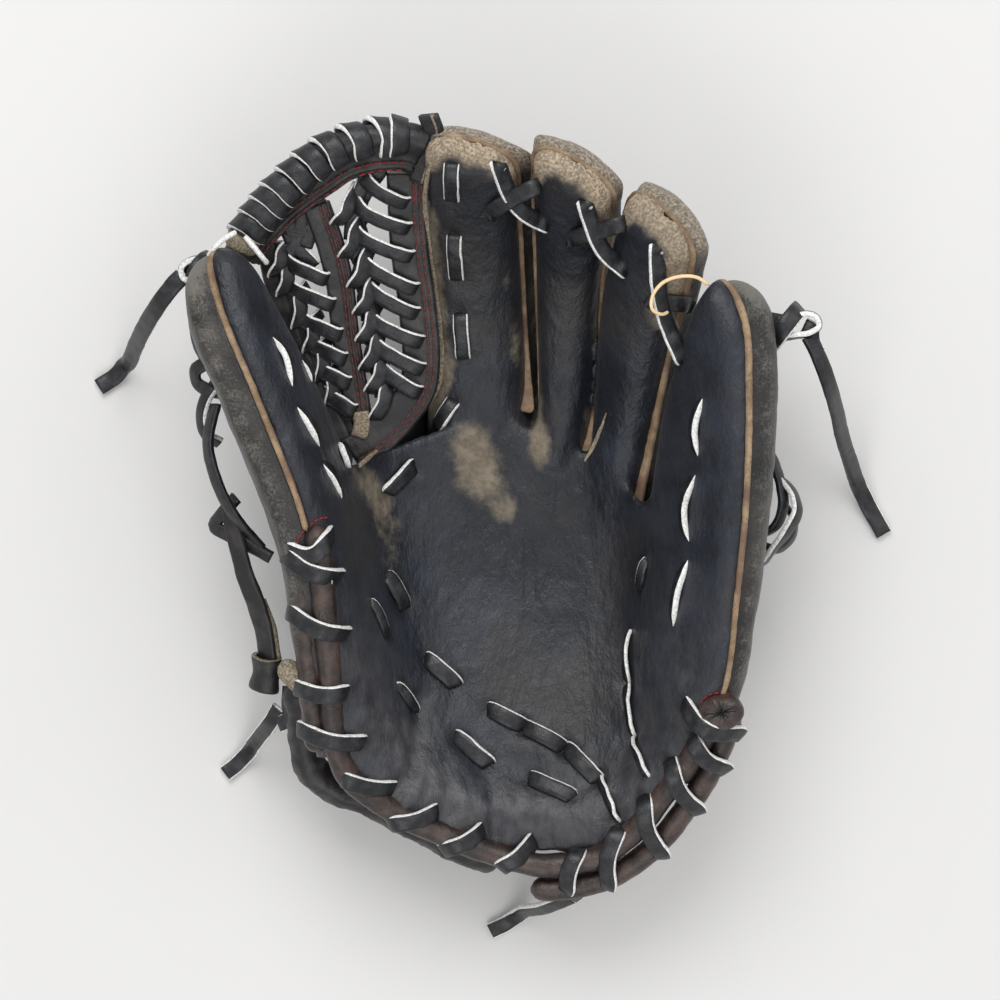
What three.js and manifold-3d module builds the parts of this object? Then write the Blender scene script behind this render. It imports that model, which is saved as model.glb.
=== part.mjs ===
// A leather baseball fielder's glove, worn on the left hand, lying on its back with the pocket up.
// Millimetres. +X runs from the thumb to the little finger, +Y to the fingertips, +Z up.
import * as THREE from 'three';
import { mergeVertices } from 'three/addons/utils/BufferGeometryUtils.js';
import Module from 'manifold-3d';

const wasm = await Module();
wasm.setup();

// Driving dimensions.
const leather = 3.0; // thickness of a shell panel
const gap = 0.35; // clearance kept between neighbouring pieces
const laceWidth = 6.35;
const laceThick = 2.0;
const surfaceLift = 2.4; // a lace's middle above the panel that it is laid on
const stitchHump = 0.8; // how much higher each stitch is at its middle
const seamHalf = 2.1; // half the slot between two panels, which the welt fills
const weltThick = 2.2;
const weltDepth = 5.0;
const bindingRadius = 4.4;
const tipStart = 0.88; // where along a stall its tip starts to round off
const roundness = 2.5; // exponent of the stalls' superelliptic sections
const simplifyBy = 0.08; // how far a fitted surface may move when spare triangles are dropped
const centring = [0, 0, 0]; // moves the origin under the middle of the bounding box

// The fold line, from the break in the heel to the middle of the web's crown.
const foldHeel = new THREE.Vector3(22, -131, 66);
const foldCrown = new THREE.Vector3(-56, 126, 107);
const foldGap = 0.4;

// Each stall's two seam lines, from the wrist to the tip, and the half thickness of its
// front and back at the same stations.
const stallShapes = {
  thumb: {
    outer: [[-54, -90, 80], [-59, -48, 97], [-63, -8, 106], [-79, 36, 109], [-92, 68, 108], [-96, 87, 103]],
    inner: [[-30, -88, 24], [-38, -44, 28], [-50, -4, 46], [-63, 36, 62], [-77, 66, 76], [-87, 88, 92]],
    front: [10, 10, 10, 10, 10, 9],
    back: [14, 16, 18, 20, 20, 15],
    mirror: true,
  },
  index: {
    outer: [[18.5, 26, 23], [16.5, 60, 35], [15, 91, 55], [14, 114, 79], [13, 129, 103]],
    inner: [[-22, 26, 23], [-20, 60, 36], [-20, 91, 56], [-21, 114, 80], [-19, 129, 103]],
    front: [20, 15, 12, 10.5, 9],
    back: [19, 15, 13, 12, 11],
  },
  middle: {
    outer: [[38, 17, 28], [42, 50, 37], [43, 84, 56], [45.5, 106, 79], [47, 119, 103]],
    inner: [[22, 24, 23], [21, 60, 35], [19.5, 90, 55], [18.5, 113, 79], [18, 127, 103]],
    front: [20, 15, 12, 10.5, 9],
    back: [19, 15, 13, 12, 11],
  },
  ring: {
    outer: [[56, -4, 40], [62, 28, 52], [67.5, 58, 68], [72.5, 77, 87], [74, 91, 106]],
    inner: [[41.5, 9, 29], [45.5, 46, 38], [46.5, 78, 56], [50, 100, 79], [54, 112, 102]],
    front: [16, 13, 12, 10.5, 9],
    back: [17, 14, 13, 13, 13],
  },
  pinky: {
    outer: [[70, -99, 77], [85.5, -66, 92], [90, -32, 99], [93, 2, 104], [94, 38, 107], [92.5, 66, 108], [86, 83, 105]],
    inner: [[46, -96, 18], [54, -62, 22], [60, -28, 34], [64, 2, 48], [69, 36, 63], [75, 60, 81], [80, 76, 96]],
    front: [10, 10, 10, 10, 10, 10, 9],
    back: [14, 16, 18, 20, 21, 20, 15],
  },
};

// The palm between the thumb roll and the little-finger roll, row by row from the heel.
const palmRows = [
  { left: [[-54, -86, 81], [-48, -94, 75], [-37, -104, 69]], right: [[58, -114, 67], [70, -98, 76], [80, -80, 86]], middle: [[-18, -115, 62.5], [8, -124, 57], [38, -124, 59]] },
  { thumb: 0.13, pinky: 0.13, middle: [[-30, -84, 58], [5, -93, 50], [46, -92, 53]] },
  { thumb: 0.25, pinky: 0.26, middle: [[-30, -52, 52], [8, -55, 43], [48, -54, 46]] },
  { thumb: 0.38, pinky: 0.36, middle: [[-32, -18, 50], [9, -17, 40], [48, -20, 44]] },
  { thumb: 0.47, pinky: 0.42, middle: [[-37, 21, 52], [8, 33, 43], [44, 16, 45]] },
];

const vec = (p) => new THREE.Vector3(...p);
const spline = (points) => new THREE.CatmullRomCurve3(points.map((p) => (p.isVector3 ? p : vec(p))), false, 'centripetal');
const mix = THREE.MathUtils.lerp;

function sample(values, t) {
  const s = Math.min(Math.max(t, 0), 1) * (values.length - 1);
  const i = Math.min(Math.floor(s), values.length - 2);
  return mix(values[i], values[i + 1], s - i);
}

// A stall as a moving frame: centre, half width towards the outer seam, and front normal.
function makeStall(shape) {
  const outer = new THREE.CatmullRomCurve3(shape.outer.map(vec));
  const inner = new THREE.CatmullRomCurve3(shape.inner.map(vec));
  const centre = (v) => outer.getPoint(v).add(inner.getPoint(v)).multiplyScalar(0.5);
  const frame = (v) => {
    const c = centre(v);
    const w = outer.getPoint(v).sub(inner.getPoint(v)).multiplyScalar(0.5);
    const t = centre(Math.min(v + 0.02, 1)).sub(centre(Math.max(v - 0.02, 0))).normalize();
    const n = w.clone().cross(t).normalize().multiplyScalar(shape.mirror ? -1 : 1);
    return { c, w, t, n };
  };
  const taper = (v) => {
    const s = Math.max(0, (v - tipStart) / (1 - tipStart));
    return Math.sqrt(1 - 0.9 * s * s);
  };
  const skin = (v, angle, face, inset) => {
    const { c, w, n } = frame(v);
    const k = taper(v);
    const across = Math.max(w.length() * k - inset, 1);
    const height = Math.max(sample(face > 0 ? shape.front : shape.back, v) * k - inset, 0.8);
    const x = Math.sign(Math.cos(angle)) * Math.abs(Math.cos(angle)) ** (2 / roundness);
    const h = Math.abs(Math.sin(angle)) ** (2 / roundness);
    return c.addScaledVector(w.normalize(), x * across).addScaledVector(n, face * h * height);
  };
  const seamAngle = (v, face) => {
    const height = sample(face > 0 ? shape.front : shape.back, v) * taper(v);
    return Math.asin(Math.min(0.8, (seamHalf / height) ** (roundness / 2)));
  };
  return { frame, skin, seamAngle, taper };
}

const stalls = Object.fromEntries(Object.entries(stallShapes).map(([name, shape]) => [name, makeStall(shape)]));

// --- Solid builders -------------------------------------------------------------------------

function geometryFrom(vertices, faces) {
  const geometry = new THREE.BufferGeometry();
  geometry.setAttribute('position', new THREE.Float32BufferAttribute(vertices.flatMap((p) => [p.x, p.y, p.z]), 3));
  geometry.setIndex(faces.flat());
  return geometry;
}

function toManifold(geometry) {
  const merged = mergeVertices(geometry, 1e-4);
  const mesh = new wasm.Mesh({
    numProp: 3,
    vertProperties: new Float32Array(merged.attributes.position.array),
    triVerts: new Uint32Array(merged.index.array),
  });
  const solid = new wasm.Manifold(mesh);
  if (solid.volume() > 0) return solid;
  const turned = Array.from(merged.index.array);
  for (let i = 0; i < turned.length; i += 3) [turned[i], turned[i + 1]] = [turned[i + 1], turned[i]];
  mesh.triVerts = new Uint32Array(turned);
  return new wasm.Manifold(mesh);
}

// A sheet: point(u, v, side) with side 0 for its outer surface and 1 for its inner surface.
function sheet(nu, nv, point) {
  const vertices = [];
  for (const side of [0, 1]) {
    for (let j = 0; j <= nv; j++) for (let i = 0; i <= nu; i++) vertices.push(point(i / nu, j / nv, side));
  }
  const layer = (nu + 1) * (nv + 1);
  const at = (i, j, side) => side * layer + j * (nu + 1) + i;
  const faces = [];
  const quad = (a, b, c, d) => faces.push([a, b, c], [a, c, d]);
  for (let j = 0; j < nv; j++) {
    for (let i = 0; i < nu; i++) {
      quad(at(i, j, 0), at(i + 1, j, 0), at(i + 1, j + 1, 0), at(i, j + 1, 0));
      quad(at(i, j, 1), at(i, j + 1, 1), at(i + 1, j + 1, 1), at(i + 1, j, 1));
    }
  }
  for (let i = 0; i < nu; i++) {
    quad(at(i, 0, 0), at(i, 0, 1), at(i + 1, 0, 1), at(i + 1, 0, 0));
    quad(at(i, nv, 0), at(i + 1, nv, 0), at(i + 1, nv, 1), at(i, nv, 1));
  }
  for (let j = 0; j < nv; j++) {
    quad(at(0, j, 0), at(0, j + 1, 0), at(0, j + 1, 1), at(0, j, 1));
    quad(at(nu, j, 0), at(nu, j, 1), at(nu, j + 1, 1), at(nu, j + 1, 0));
  }
  return toManifold(geometryFrom(vertices, faces));
}

// A bar through rings of points, closed at both ends.
function loft(rings) {
  const sides = rings[0].length;
  const vertices = rings.flat();
  const faces = [];
  for (let j = 0; j + 1 < rings.length; j++) {
    for (let i = 0; i < sides; i++) {
      const [a, b] = [j * sides + i, j * sides + ((i + 1) % sides)];
      faces.push([a, b, b + sides], [a, b + sides, a + sides]);
    }
  }
  const last = (rings.length - 1) * sides;
  for (let i = 1; i + 1 < sides; i++) faces.push([0, i + 1, i], [last, last + i, last + i + 1]);
  return toManifold(geometryFrom(vertices, faces));
}

// A flat band along points, with the face normal given at each of them.
function band(points, normals, width, thick) {
  const rings = points.map((p, i) => {
    const before = points[Math.max(i - 1, 0)];
    const after = points[Math.min(i + 1, points.length - 1)];
    const tangent = after.clone().sub(before).normalize();
    const side = tangent.clone().cross(normals[i]).normalize();
    const up = side.clone().cross(tangent).normalize();
    return [[1, 1], [-1, 1], [-1, -1], [1, -1]].map(([a, b]) =>
      p.clone().addScaledVector(side, (a * width) / 2).addScaledVector(up, (b * thick) / 2));
  });
  return loft(rings);
}

function smooth(points, steps) {
  return spline(points).getPoints(steps);
}

function strap(points, normal, steps, width, thick) {
  const path = smooth(points, steps);
  return band(path, path.map(() => vec(normal)), width, thick);
}

function roll(points, steps, radius, sides = 6) {
  const path = smooth(points, steps);
  const up = new THREE.Vector3(0, 0, 1);
  const rings = path.map((p, i) => {
    const tangent = path[Math.min(i + 1, steps)].clone().sub(path[Math.max(i - 1, 0)]).normalize();
    const side = tangent.clone().cross(up).normalize();
    const top = side.clone().cross(tangent);
    return Array.from({ length: sides }, (_, k) => {
      const angle = (2 * Math.PI * k) / sides;
      return p.clone().addScaledVector(side, radius * Math.cos(angle)).addScaledVector(top, radius * Math.sin(angle));
    });
  });
  return loft(rings);
}

// A lace wound round a core, with turns made of six steps.
function winding(core, turns, across, height, grow, first = 0.25) {
  const path = spline(core);
  const steps = Math.round(turns * 6);
  const points = [];
  const normals = [];
  for (let i = 0; i <= steps; i++) {
    const t = i / steps;
    const centre = path.getPointAt(t);
    const tangent = path.getTangentAt(t);
    const side = tangent.clone().cross(new THREE.Vector3(0, 0, 1)).normalize();
    const top = side.clone().cross(tangent);
    const angle = 2 * Math.PI * (first + i / 6);
    const out = side.multiplyScalar(Math.cos(angle) * across).addScaledVector(top, Math.sin(angle) * height);
    points.push(centre.add(out));
    normals.push(out.clone().normalize());
  }
  return band(points, normals, laceWidth - 0.8 + 2 * grow, laceThick - 0.4 + 2 * grow);
}

// --- Leather panels -------------------------------------------------------------------------

function halfShell(name, face, from, to, grow) {
  const stall = stalls[name];
  return sheet(6, 8, (u, v, side) => {
    const along = mix(from, to, v);
    const start = stall.seamAngle(along, face);
    return stall.skin(along, mix(start, Math.PI - start, u), face, side * leather - (side ? -grow : grow));
  });
}

const palmCurves = palmRows.map((row) => {
  const { thumb, pinky } = stalls;
  const left = row.left?.map(vec) ?? [0.35, 0.9, 1.5].map((a) => thumb.skin(row.thumb, a, 1, 0));
  const right = row.right?.map(vec) ?? [1.5, 0.9, 0.35].map((a) => pinky.skin(row.pinky, a, 1, 0));
  return new THREE.CatmullRomCurve3([...left, ...row.middle.map(vec), ...right]);
});

function palmPoint(u, v) {
  const across = palmCurves.map((row) => row.getPoint(u));
  return new THREE.CatmullRomCurve3(across).getPoint(v);
}

function palmNormal(u, v) {
  const e = 0.01;
  const du = palmPoint(Math.min(u + e, 1), v).sub(palmPoint(Math.max(u - e, 0), v));
  const dv = palmPoint(u, Math.min(v + e, 1)).sub(palmPoint(u, Math.max(v - e, 0)));
  return du.cross(dv).normalize();
}

function palmSheet(u0, u1, v0, v1, top, bottom, nu, nv) {
  return sheet(nu, nv, (a, b, side) => {
    const [u, v] = [mix(u0, u1, a), mix(v0, v1, b)];
    return palmPoint(u, v).addScaledVector(palmNormal(u, v), side ? -bottom : -top);
  });
}

function shellFront(grow) {
  const fingers = ['index', 'middle', 'ring'].map((name) => halfShell(name, 1, 0, 1, grow));
  const rolls = [halfShell('thumb', 1, 0.4, 1, grow), halfShell('pinky', 1, 0.38, 1, grow)];
  const palm = palmSheet(0, 1, 0, 1, -grow, leather + grow, 12, 8);
  return [...fingers, ...rolls].reduce((sum, part) => sum.add(part), palm);
}

// The welt runs up one seam of a stall, round its tip and down the other seam.
function welt(name, from, back, grow) {
  const stall = stalls[name];
  const points = [];
  const normals = [];
  const put = (v, x) => {
    const { c, w, n } = stall.frame(v);
    points.push(c.addScaledVector(w, x * stall.taper(v) - Math.sign(x) * 1.2 / w.length()));
    normals.push(n);
  };
  for (let i = 0; i <= 8; i++) put(mix(from, 0.985, i / 8), 1);
  for (let i = 8; i >= 0; i--) put(mix(back, 0.985, i / 8), -1);
  return band(points, normals, weltDepth + 2 * grow, weltThick + 2 * grow);
}

// --- Web ------------------------------------------------------------------------------------

const webHeight = (y) => 48 + 0.0028 * (y - 5) ** 2;
const onWeb = ([x, y], lift = 0) => [x, y, webHeight(y) + lift];
const webNormal = [0, -0.36, 0.93];
const crownEdge = [[-90, 105.5], [-75, 121], [-59.5, 132.5], [-44, 136.3], [-25, 138.5]];
const crownLine = crownEdge.map((p) => onWeb(p, 1));
const indexStripLine = [[-33, 28], [-24, 38], [-22, 56], [-25, 78], [-28, 98], [-30, 116]];
const postLine = [[-44, 30], [-46, 44], [-49, 62], [-52, 80], [-56, 98], [-60, 116]];
const thumbStripLine = [[-52, 22], [-58, 36], [-66, 54], [-72, 70], [-76, 84], [-79, 98]];

function webStrip(line, width, grow) {
  return strap(line.map((p) => onWeb(p)), webNormal, 12, width + 2 * grow, 4 + 2 * grow);
}

function crownBand(grow) {
  const path = smooth(crownLine, 16);
  const inward = path.map((p) => p.clone().add(new THREE.Vector3(6 * (p.x + 40) / -60, -9, -5)));
  return band(inward, inward.map(() => vec(webNormal)), 20 + 2 * grow, 5 + 2 * grow);
}

// Points in plan along the fold, moved towards the little finger.
function foldPlanLine(shift) {
  const slope = (foldCrown.x - foldHeel.x) / (foldCrown.y - foldHeel.y);
  return [30, 60, 90, 116].map((y) => [foldHeel.x + slope * (y - foldHeel.y) + shift, y]);
}

// Rungs of lace laid to and fro over two neighbouring strips.
function ladder(left, right, rungs, grow) {
  const [a, b] = [spline(left.map((p) => onWeb(p, 4))), spline(right.map((p) => onWeb(p, 4)))];
  const points = [];
  for (let i = 0; i < rungs; i++) {
    const t = mix(0.14, 0.86, i / (rungs - 1));
    const ends = [a.getPointAt(t), b.getPointAt(t)];
    const [from, to] = i % 2 ? [ends[1], ends[0]] : ends;
    points.push(from, from.clone().lerp(to, 0.5).add(new THREE.Vector3(0, 0, -1)), to);
  }
  return band(points, points.map(() => vec(webNormal)), laceWidth - 1.4 + 2 * grow, laceThick - 0.4 + 2 * grow);
}

// --- Wrist ----------------------------------------------------------------------------------

const thumbEdge = [[-59.5, -6, 106], [-57.5, -30, 102], [-55.5, -58, 93], [-54, -82, 82], [-49.5, -97, 75]];
const heelLeft = [[-49.5, -97, 75], [-34, -110, 66], [-16, -119, 61], [4, -127, 58], [20, -131, 58]];
const heelRight = [[24, -131, 58], [41, -128, 60], [54, -118.5, 65], [67, -101.5, 74], [77, -86, 84], [84, -69, 93]];
const thumbBackEdge = [[-69, -12, 97], [-67, -38, 92], [-65, -64, 83], [-63, -88, 71]];
const pinkyBackEdge = [[17, -140.5, 52], [32, -139.5, 53], [45, -136, 55], [60, -126, 60], [75.5, -106, 70], [84, -90, 79], [89.5, -73, 88]];

const strapMiddle = -60; // the wrist strap's place along the hand
const strapWidth = 40;
const strapLine = [[-66, 62], [-52, 30], [-34, 9], [-14, 3.2], [10, 3], [34, 3.2], [54, 9], [74, 28], [90, 58]];

function acrossWrist(line, lift, width, thick) {
  const points = line.map(([x, z]) => [x, strapMiddle, z + lift]);
  const path = smooth(points, 26);
  const normals = path.map((p, i) => {
    const tangent = path[Math.min(i + 1, 26)].clone().sub(path[Math.max(i - 1, 0)]);
    return tangent.cross(new THREE.Vector3(0, 1, 0)).normalize().negate();
  });
  return band(path, normals, width, thick);
}

function plate(x0, x1, y0, y1, z0, z1, corner) {
  const shape = new THREE.Shape();
  shape.moveTo(x0 + corner, y0);
  shape.lineTo(x1 - corner, y0);
  shape.absarc(x1 - corner, y0 + corner, corner, -Math.PI / 2, 0);
  shape.lineTo(x1, y1 - corner);
  shape.absarc(x1 - corner, y1 - corner, corner, 0, Math.PI / 2);
  shape.lineTo(x0 + corner, y1);
  shape.absarc(x0 + corner, y1 - corner, corner, Math.PI / 2, Math.PI);
  shape.lineTo(x0, y0 + corner);
  shape.absarc(x0 + corner, y0 + corner, corner, Math.PI, 1.5 * Math.PI);
  const solid = new THREE.ExtrudeGeometry(shape, { depth: z1 - z0, bevelEnabled: false, curveSegments: 4 });
  solid.translate(0, 0, z0);
  solid.deleteAttribute('normal');
  solid.deleteAttribute('uv');
  return toManifold(solid);
}

function pad(name, from, to, across, heights, shift, grow = 0) {
  const { frame } = stalls[name];
  const rings = [];
  for (let j = 0; j <= 6; j++) {
    const { c, w, n } = frame(mix(from, to, j / 6));
    const k = Math.sqrt(1 - 0.85 * (j / 3 - 1) ** 2);
    rings.push(Array.from({ length: 10 }, (_, i) => {
      const angle = (2 * Math.PI * i) / 10;
      return c.clone().addScaledVector(w, shift[0] + Math.cos(angle) * across * k)
        .addScaledVector(n, shift[1] + Math.sin(angle) * (heights * k + grow));
    }));
  }
  return loft(rings);
}

function knot(at, size, grow) {
  const rings = [];
  for (let j = 0; j <= 4; j++) {
    const k = Math.sin((Math.PI * (j + 0.35)) / 4.7);
    rings.push(Array.from({ length: 8 }, (_, i) => {
      const angle = (Math.PI * i) / 4;
      return new THREE.Vector3(
        at[0] + Math.cos(angle) * (size * k + grow),
        at[1] + Math.sin(angle) * (size * k + grow),
        at[2] + (j / 2 - 1) * (size * 0.7 + grow),
      );
    }));
  }
  return loft(rings);
}

// The wrist strap's free end lies along the thumb and slides through a keeper.
const tongueFrom = [-99, 6, 66];
const tongueTo = [-83, -62, 50];
const tongueWidth = 16;
const tongueThick = 3;
const tongueFace = [-0.95, -0.22, 0.2];

function tongue(grow) {
  const [a, b] = [vec(tongueFrom), vec(tongueTo)];
  const path = [0, 0.12, 0.5, 1].map((t) => a.clone().lerp(b, t));
  const widths = [0.35, 1, 1, 1];
  const along = b.clone().sub(a).normalize();
  const side = along.clone().cross(vec(tongueFace)).normalize();
  const up = side.clone().cross(along);
  const rings = path.map((p, i) => [[1, 1], [-1, 1], [-1, -1], [1, -1]].map(([m, n]) =>
    p.clone().addScaledVector(side, m * (widths[i] * tongueWidth / 2 + grow)).addScaledVector(up, n * (tongueThick / 2 + grow))));
  return loft(rings);
}

function keeper() {
  const [a, b] = [vec(tongueFrom), vec(tongueTo)];
  const path = [0.8, 0.94].map((t) => a.clone().lerp(b, t));
  const along = b.clone().sub(a).normalize();
  const side = along.clone().cross(vec(tongueFace)).normalize();
  const up = side.clone().cross(along);
  const frame = (margin, reach) => loft(path.map((p, i) => [[1, 1], [-1, 1], [-1, -1], [1, -1]].map(([m, n]) =>
    p.clone().addScaledVector(along, (i ? 1 : -1) * reach)
      .addScaledVector(side, m * (tongueWidth / 2 + margin)).addScaledVector(up, n * (tongueThick / 2 + margin)))));
  return frame(3, 0).subtract(frame(0.8, 5));
}

// A small leather loop inside a stall, which holds the wearer's thumb or little finger.
function fingerLoop(name, v, grow) {
  const { c, w, n } = stalls[name].frame(v);
  const points = [];
  const normals = [];
  for (let i = 0; i <= 8; i++) {
    const angle = Math.PI * (1.15 + (i / 8) * 1.5);
    const out = w.clone().multiplyScalar(0.55 * Math.cos(angle)).addScaledVector(n, 6.5 * Math.sin(angle));
    points.push(c.clone().addScaledVector(n, -6).add(out));
    normals.push(out.clone().normalize());
  }
  return band(points, normals, 9 + 2 * grow, 1.6 + 2 * grow);
}

// Loose lace ends, each along a route chosen by hand.
const tailSteps = 26;
const tails = {
  thumb: { points: [[-109, 84, 82], [-113, 80, 81], [-119, 73, 74], [-125, 66, 58], [-130, 60, 38], [-134, 55, 19], [-137, 54, 6], [-141, 50, 1.8], [-147, 46, 1.8]], normal: [-0.62, -0.5, 0.6] },
  pinky: { points: [[117, 62, 84], [121, 54, 84], [125, 45, 77], [129, 36, 61], [133, 26, 41], [138, 16, 21], [142, 8, 7], [147, -1, 1.8], [152, -10, 1.8]], normal: [0.7, -0.3, 0.6] },
  heel: { points: [[32, -144.5, 40], [27, -147, 36], [21, -150, 27], [15, -152, 15], [12, -155, 5], [8, -158, 1.8], [2, -161, 1.8]], normal: [-0.3, -0.9, 0.5] },
  wrist: { points: [[-76, -74, 44], [-79, -79, 41], [-83, -84, 30], [-87, -89, 16], [-90, -93, 5], [-94, -97, 1.8], [-99, -101, 1.8]], normal: [-0.6, -0.5, 0.6] },
};

function tail(name) {
  const { points, normal } = tails[name];
  const path = smooth(points, tailSteps);
  const flat = new THREE.Vector3(0, 0, 1);
  const normals = path.map((p, i) => vec(normal).normalize().lerp(flat, (i / tailSteps) ** 2));
  return band(path, normals, laceWidth, laceThick);
}

// --- Parts list -----------------------------------------------------------------------------

const black = { color: 0x1c1e22, roughness: 0.62, metalness: 0 };
const lace = { color: 0x131416, roughness: 0.5, metalness: 0 };
const tan = { color: 0xb08f62, roughness: 0.8, metalness: 0 };
const brown = { color: 0x43302a, roughness: 0.6, metalness: 0 };
const felt = { color: 0xd8d0c0, roughness: 0.95, metalness: 0 };
const lining = { color: 0x9a6b3c, roughness: 0.8, metalness: 0 };
const plastic = { color: 0x303030, roughness: 0.5, metalness: 0 };

// Each piece: name, look, build(grow), and the side of the fold that it belongs to when it is cut there.
// Pieces are listed by precedence: a later one makes room for every earlier one.
const hand = 'hand';
const thumbSide = 'thumb';
const pieces = [
  ['crown_winding_thumb', lace, (g) => winding([[-86.5, 100, 74], [-75.5, 114, 82], [-66, 122.5, 88]], 4, 7, 6.5, g), null],
  ['crown_winding_index', lace, (g) => winding([[-50, 133, 95], [-41, 135.5, 98], [-30, 136.5, 100]], 3, 7, 6.5, g), null],
  ['heel_lace_thumb', lace, (g) => winding([...thumbEdge, ...heelLeft.slice(1)].map(([x, y, z]) => [x - 3, y - 1, z - 2]), 9, 11, 9, g), null],
  ['heel_lace_pinky', lace, (g) => winding(heelRight.map(([x, y, z]) => [x + 3, y - 3, z - 3]), 8, 12, 9.5, g), null],
  ['ladder_index', lace, (g) => ladder(foldPlanLine(3), indexStripLine, 8, g), null],
  ['ladder_thumb', lace, (g) => ladder(thumbStripLine, postLine, 7, g), null],
  ['index_edge_lace', lace, (g) => edgeLace('index', -0.72, 0.24, 0.86, 5, g), null],
  ['thumb_web_lace', lace, (g) => edgeLace('thumb', -0.72, 0.5, 0.88, 5, g), null],
  ['pinky_lace', lace, (g) => edgeLace('pinky', -0.15, 0.42, 0.78, 4, g), null],
  ['fingertip_lace_index_middle', lace, (g) => tipLace('index', 'middle', 0.72, g), null],
  ['fingertip_lace_middle_ring', lace, (g) => tipLace('middle', 'ring', 0.7, g), null],
  ['fingertip_lace_ring_pinky', lace, (g) => tipLace('ring', 'pinky', 0.72, g), null],
  ['palm_lace_pinky', lace, (g) => palmLace([[0.66, 0.5], [0.68, 0.14]], 5, g), null],
  ['palm_lace_middle', lace, (g) => palmLace([[0.54, 0.27], [0.62, 0.1]], 3, g), null],
  ['palm_lace_thumb', lace, (g) => palmLace([[0.33, 0.42], [0.4, 0.16]], 3, g), null],
  ['thumb_knot', lace, (g) => knot([-106, 87, 84], 4.6, g), null],
  ['pinky_knot', lace, (g) => knot([112.5, 66, 86], 5.5, g), null],
  ['strap_tongue', black, (g) => tongue(g), null],
  ['strap_keeper', black, () => keeper(), null],
  ['thumb_welt', tan, (g) => welt('thumb', 0.42, 0.5, g), null],
  ['index_welt', tan, (g) => welt('index', 0.1, 0.1, g), null],
  ['middle_welt', tan, (g) => welt('middle', 0.1, 0.1, g), null],
  ['ring_welt', tan, (g) => welt('ring', 0.12, 0.1, g), null],
  ['pinky_welt', tan, (g) => welt('pinky', 0.2, 0.5, g), null],
  ['thumb_binding', brown, (g) => roll([...thumbEdge, ...heelLeft.slice(1)], 24, bindingRadius + g), null],
  ['heel_binding', brown, (g) => roll(heelRight, 16, bindingRadius + g), null],
  ['thumb_back_binding', brown, (g) => roll(thumbBackEdge, 10, bindingRadius + g), null],
  ['pinky_back_binding', brown, (g) => roll(pinkyBackEdge, 14, bindingRadius + g), null],
  ['web_post', black, (g) => webStrip(postLine, 9, g), thumbSide],
  ['web_index_strip', black, (g) => webStrip(indexStripLine, 12, g), hand],
  ['web_thumb_strip', black, (g) => webStrip(thumbStripLine, 9, g), thumbSide],
  ['web_crown_thumb', black, (g) => crownBand(g), thumbSide],
  ['web_crown_index', black, (g) => crownBand(g), hand],
  ['palm_shell', black, (g) => shellFront(g), hand],
  ['thumb_shell', black, (g) => shellFront(g), thumbSide],
  ['thumb_back', black, (g) => halfShell('thumb', -1, 0, 1, g), thumbSide],
  ['pinky_back', black, (g) => halfShell('pinky', -1, 0, 1, g), hand],
  ['index_back', black, (g) => halfShell('index', -1, 0, 1, g), hand],
  ['middle_back', black, (g) => halfShell('middle', -1, 0, 1, g), hand],
  ['ring_back', black, (g) => halfShell('ring', -1, 0, 1, g), hand],
  ['back_panel', black, (g) => plate(-22 - g, 56 + g, -14 - g, 24 + g, 0, 3 + g, 8), hand],
  ['wrist_strap', black, (g) => acrossWrist(strapLine, 0, strapWidth + 2 * g, 4.4 + 2 * g), hand],
  ['wrist_strap_thumb', black, (g) => acrossWrist(strapLine, 0, strapWidth + 2 * g, 4.4 + 2 * g), thumbSide],
  ['strap_fleece', felt, (g) => acrossWrist(strapLine.slice(3, 7), 6, strapWidth - 6, 5), hand],
  ['palm_felt_pad', felt, (g) => palmSheet(0.36, 0.66, 0.12, 0.9, 3.8 - g, 7.8 + g, 4, 5), hand],
  ['palm_lining', lining, (g) => palmSheet(0.36, 0.66, 0.12, 0.9, 8.6 - g, 10 + g, 4, 5), hand],
  ['thumb_lining', lining, (g) => palmSheet(0.3, 0.42, 0.2, 0.7, 8.6 - g, 10 + g, 4, 6), thumbSide],
  ['thumb_heel_pad', felt, () => pad('thumb', 0.06, 0.34, 0.3, 3.5, [0.35, -3.5]), null],
  ['pinky_heel_pad', felt, () => pad('pinky', 0.06, 0.34, 0.3, 3.5, [0.35, -3.5]), null],
  ['thumb_loop', black, (g) => fingerLoop('thumb', 0.42, g), null],
  ['pinky_loop', black, (g) => fingerLoop('pinky', 0.44, g), null],
  ['thumb_stiffener', plastic, () => pad('thumb', 0.5, 0.86, 0.5, 1.5, [0, -11]), null],
  ['pinky_stiffener', plastic, () => pad('pinky', 0.5, 0.86, 0.5, 1.5, [0, -11]), null],
];

// A lace laid along a stall's front, at a fixed share of its half width.
function edgeLace(name, x, from, to, count, grow) {
  const stall = stalls[name];
  const angle = Math.acos(Math.sign(x) * Math.abs(x) ** (roundness / 2));
  const points = [];
  const normals = [];
  for (let i = 0; i <= count * 2; i++) {
    const v = mix(from, to, i / (count * 2));
    points.push(stall.skin(v, angle, 1, -surfaceLift - (i % 2) * stitchHump));
    normals.push(points.at(-1).clone().sub(stall.skin(v, angle, 1, 2)).normalize());
  }
  return band(points, normals, laceWidth - 0.6 + 2 * grow, laceThick - 0.4 + 2 * grow);
}

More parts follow.
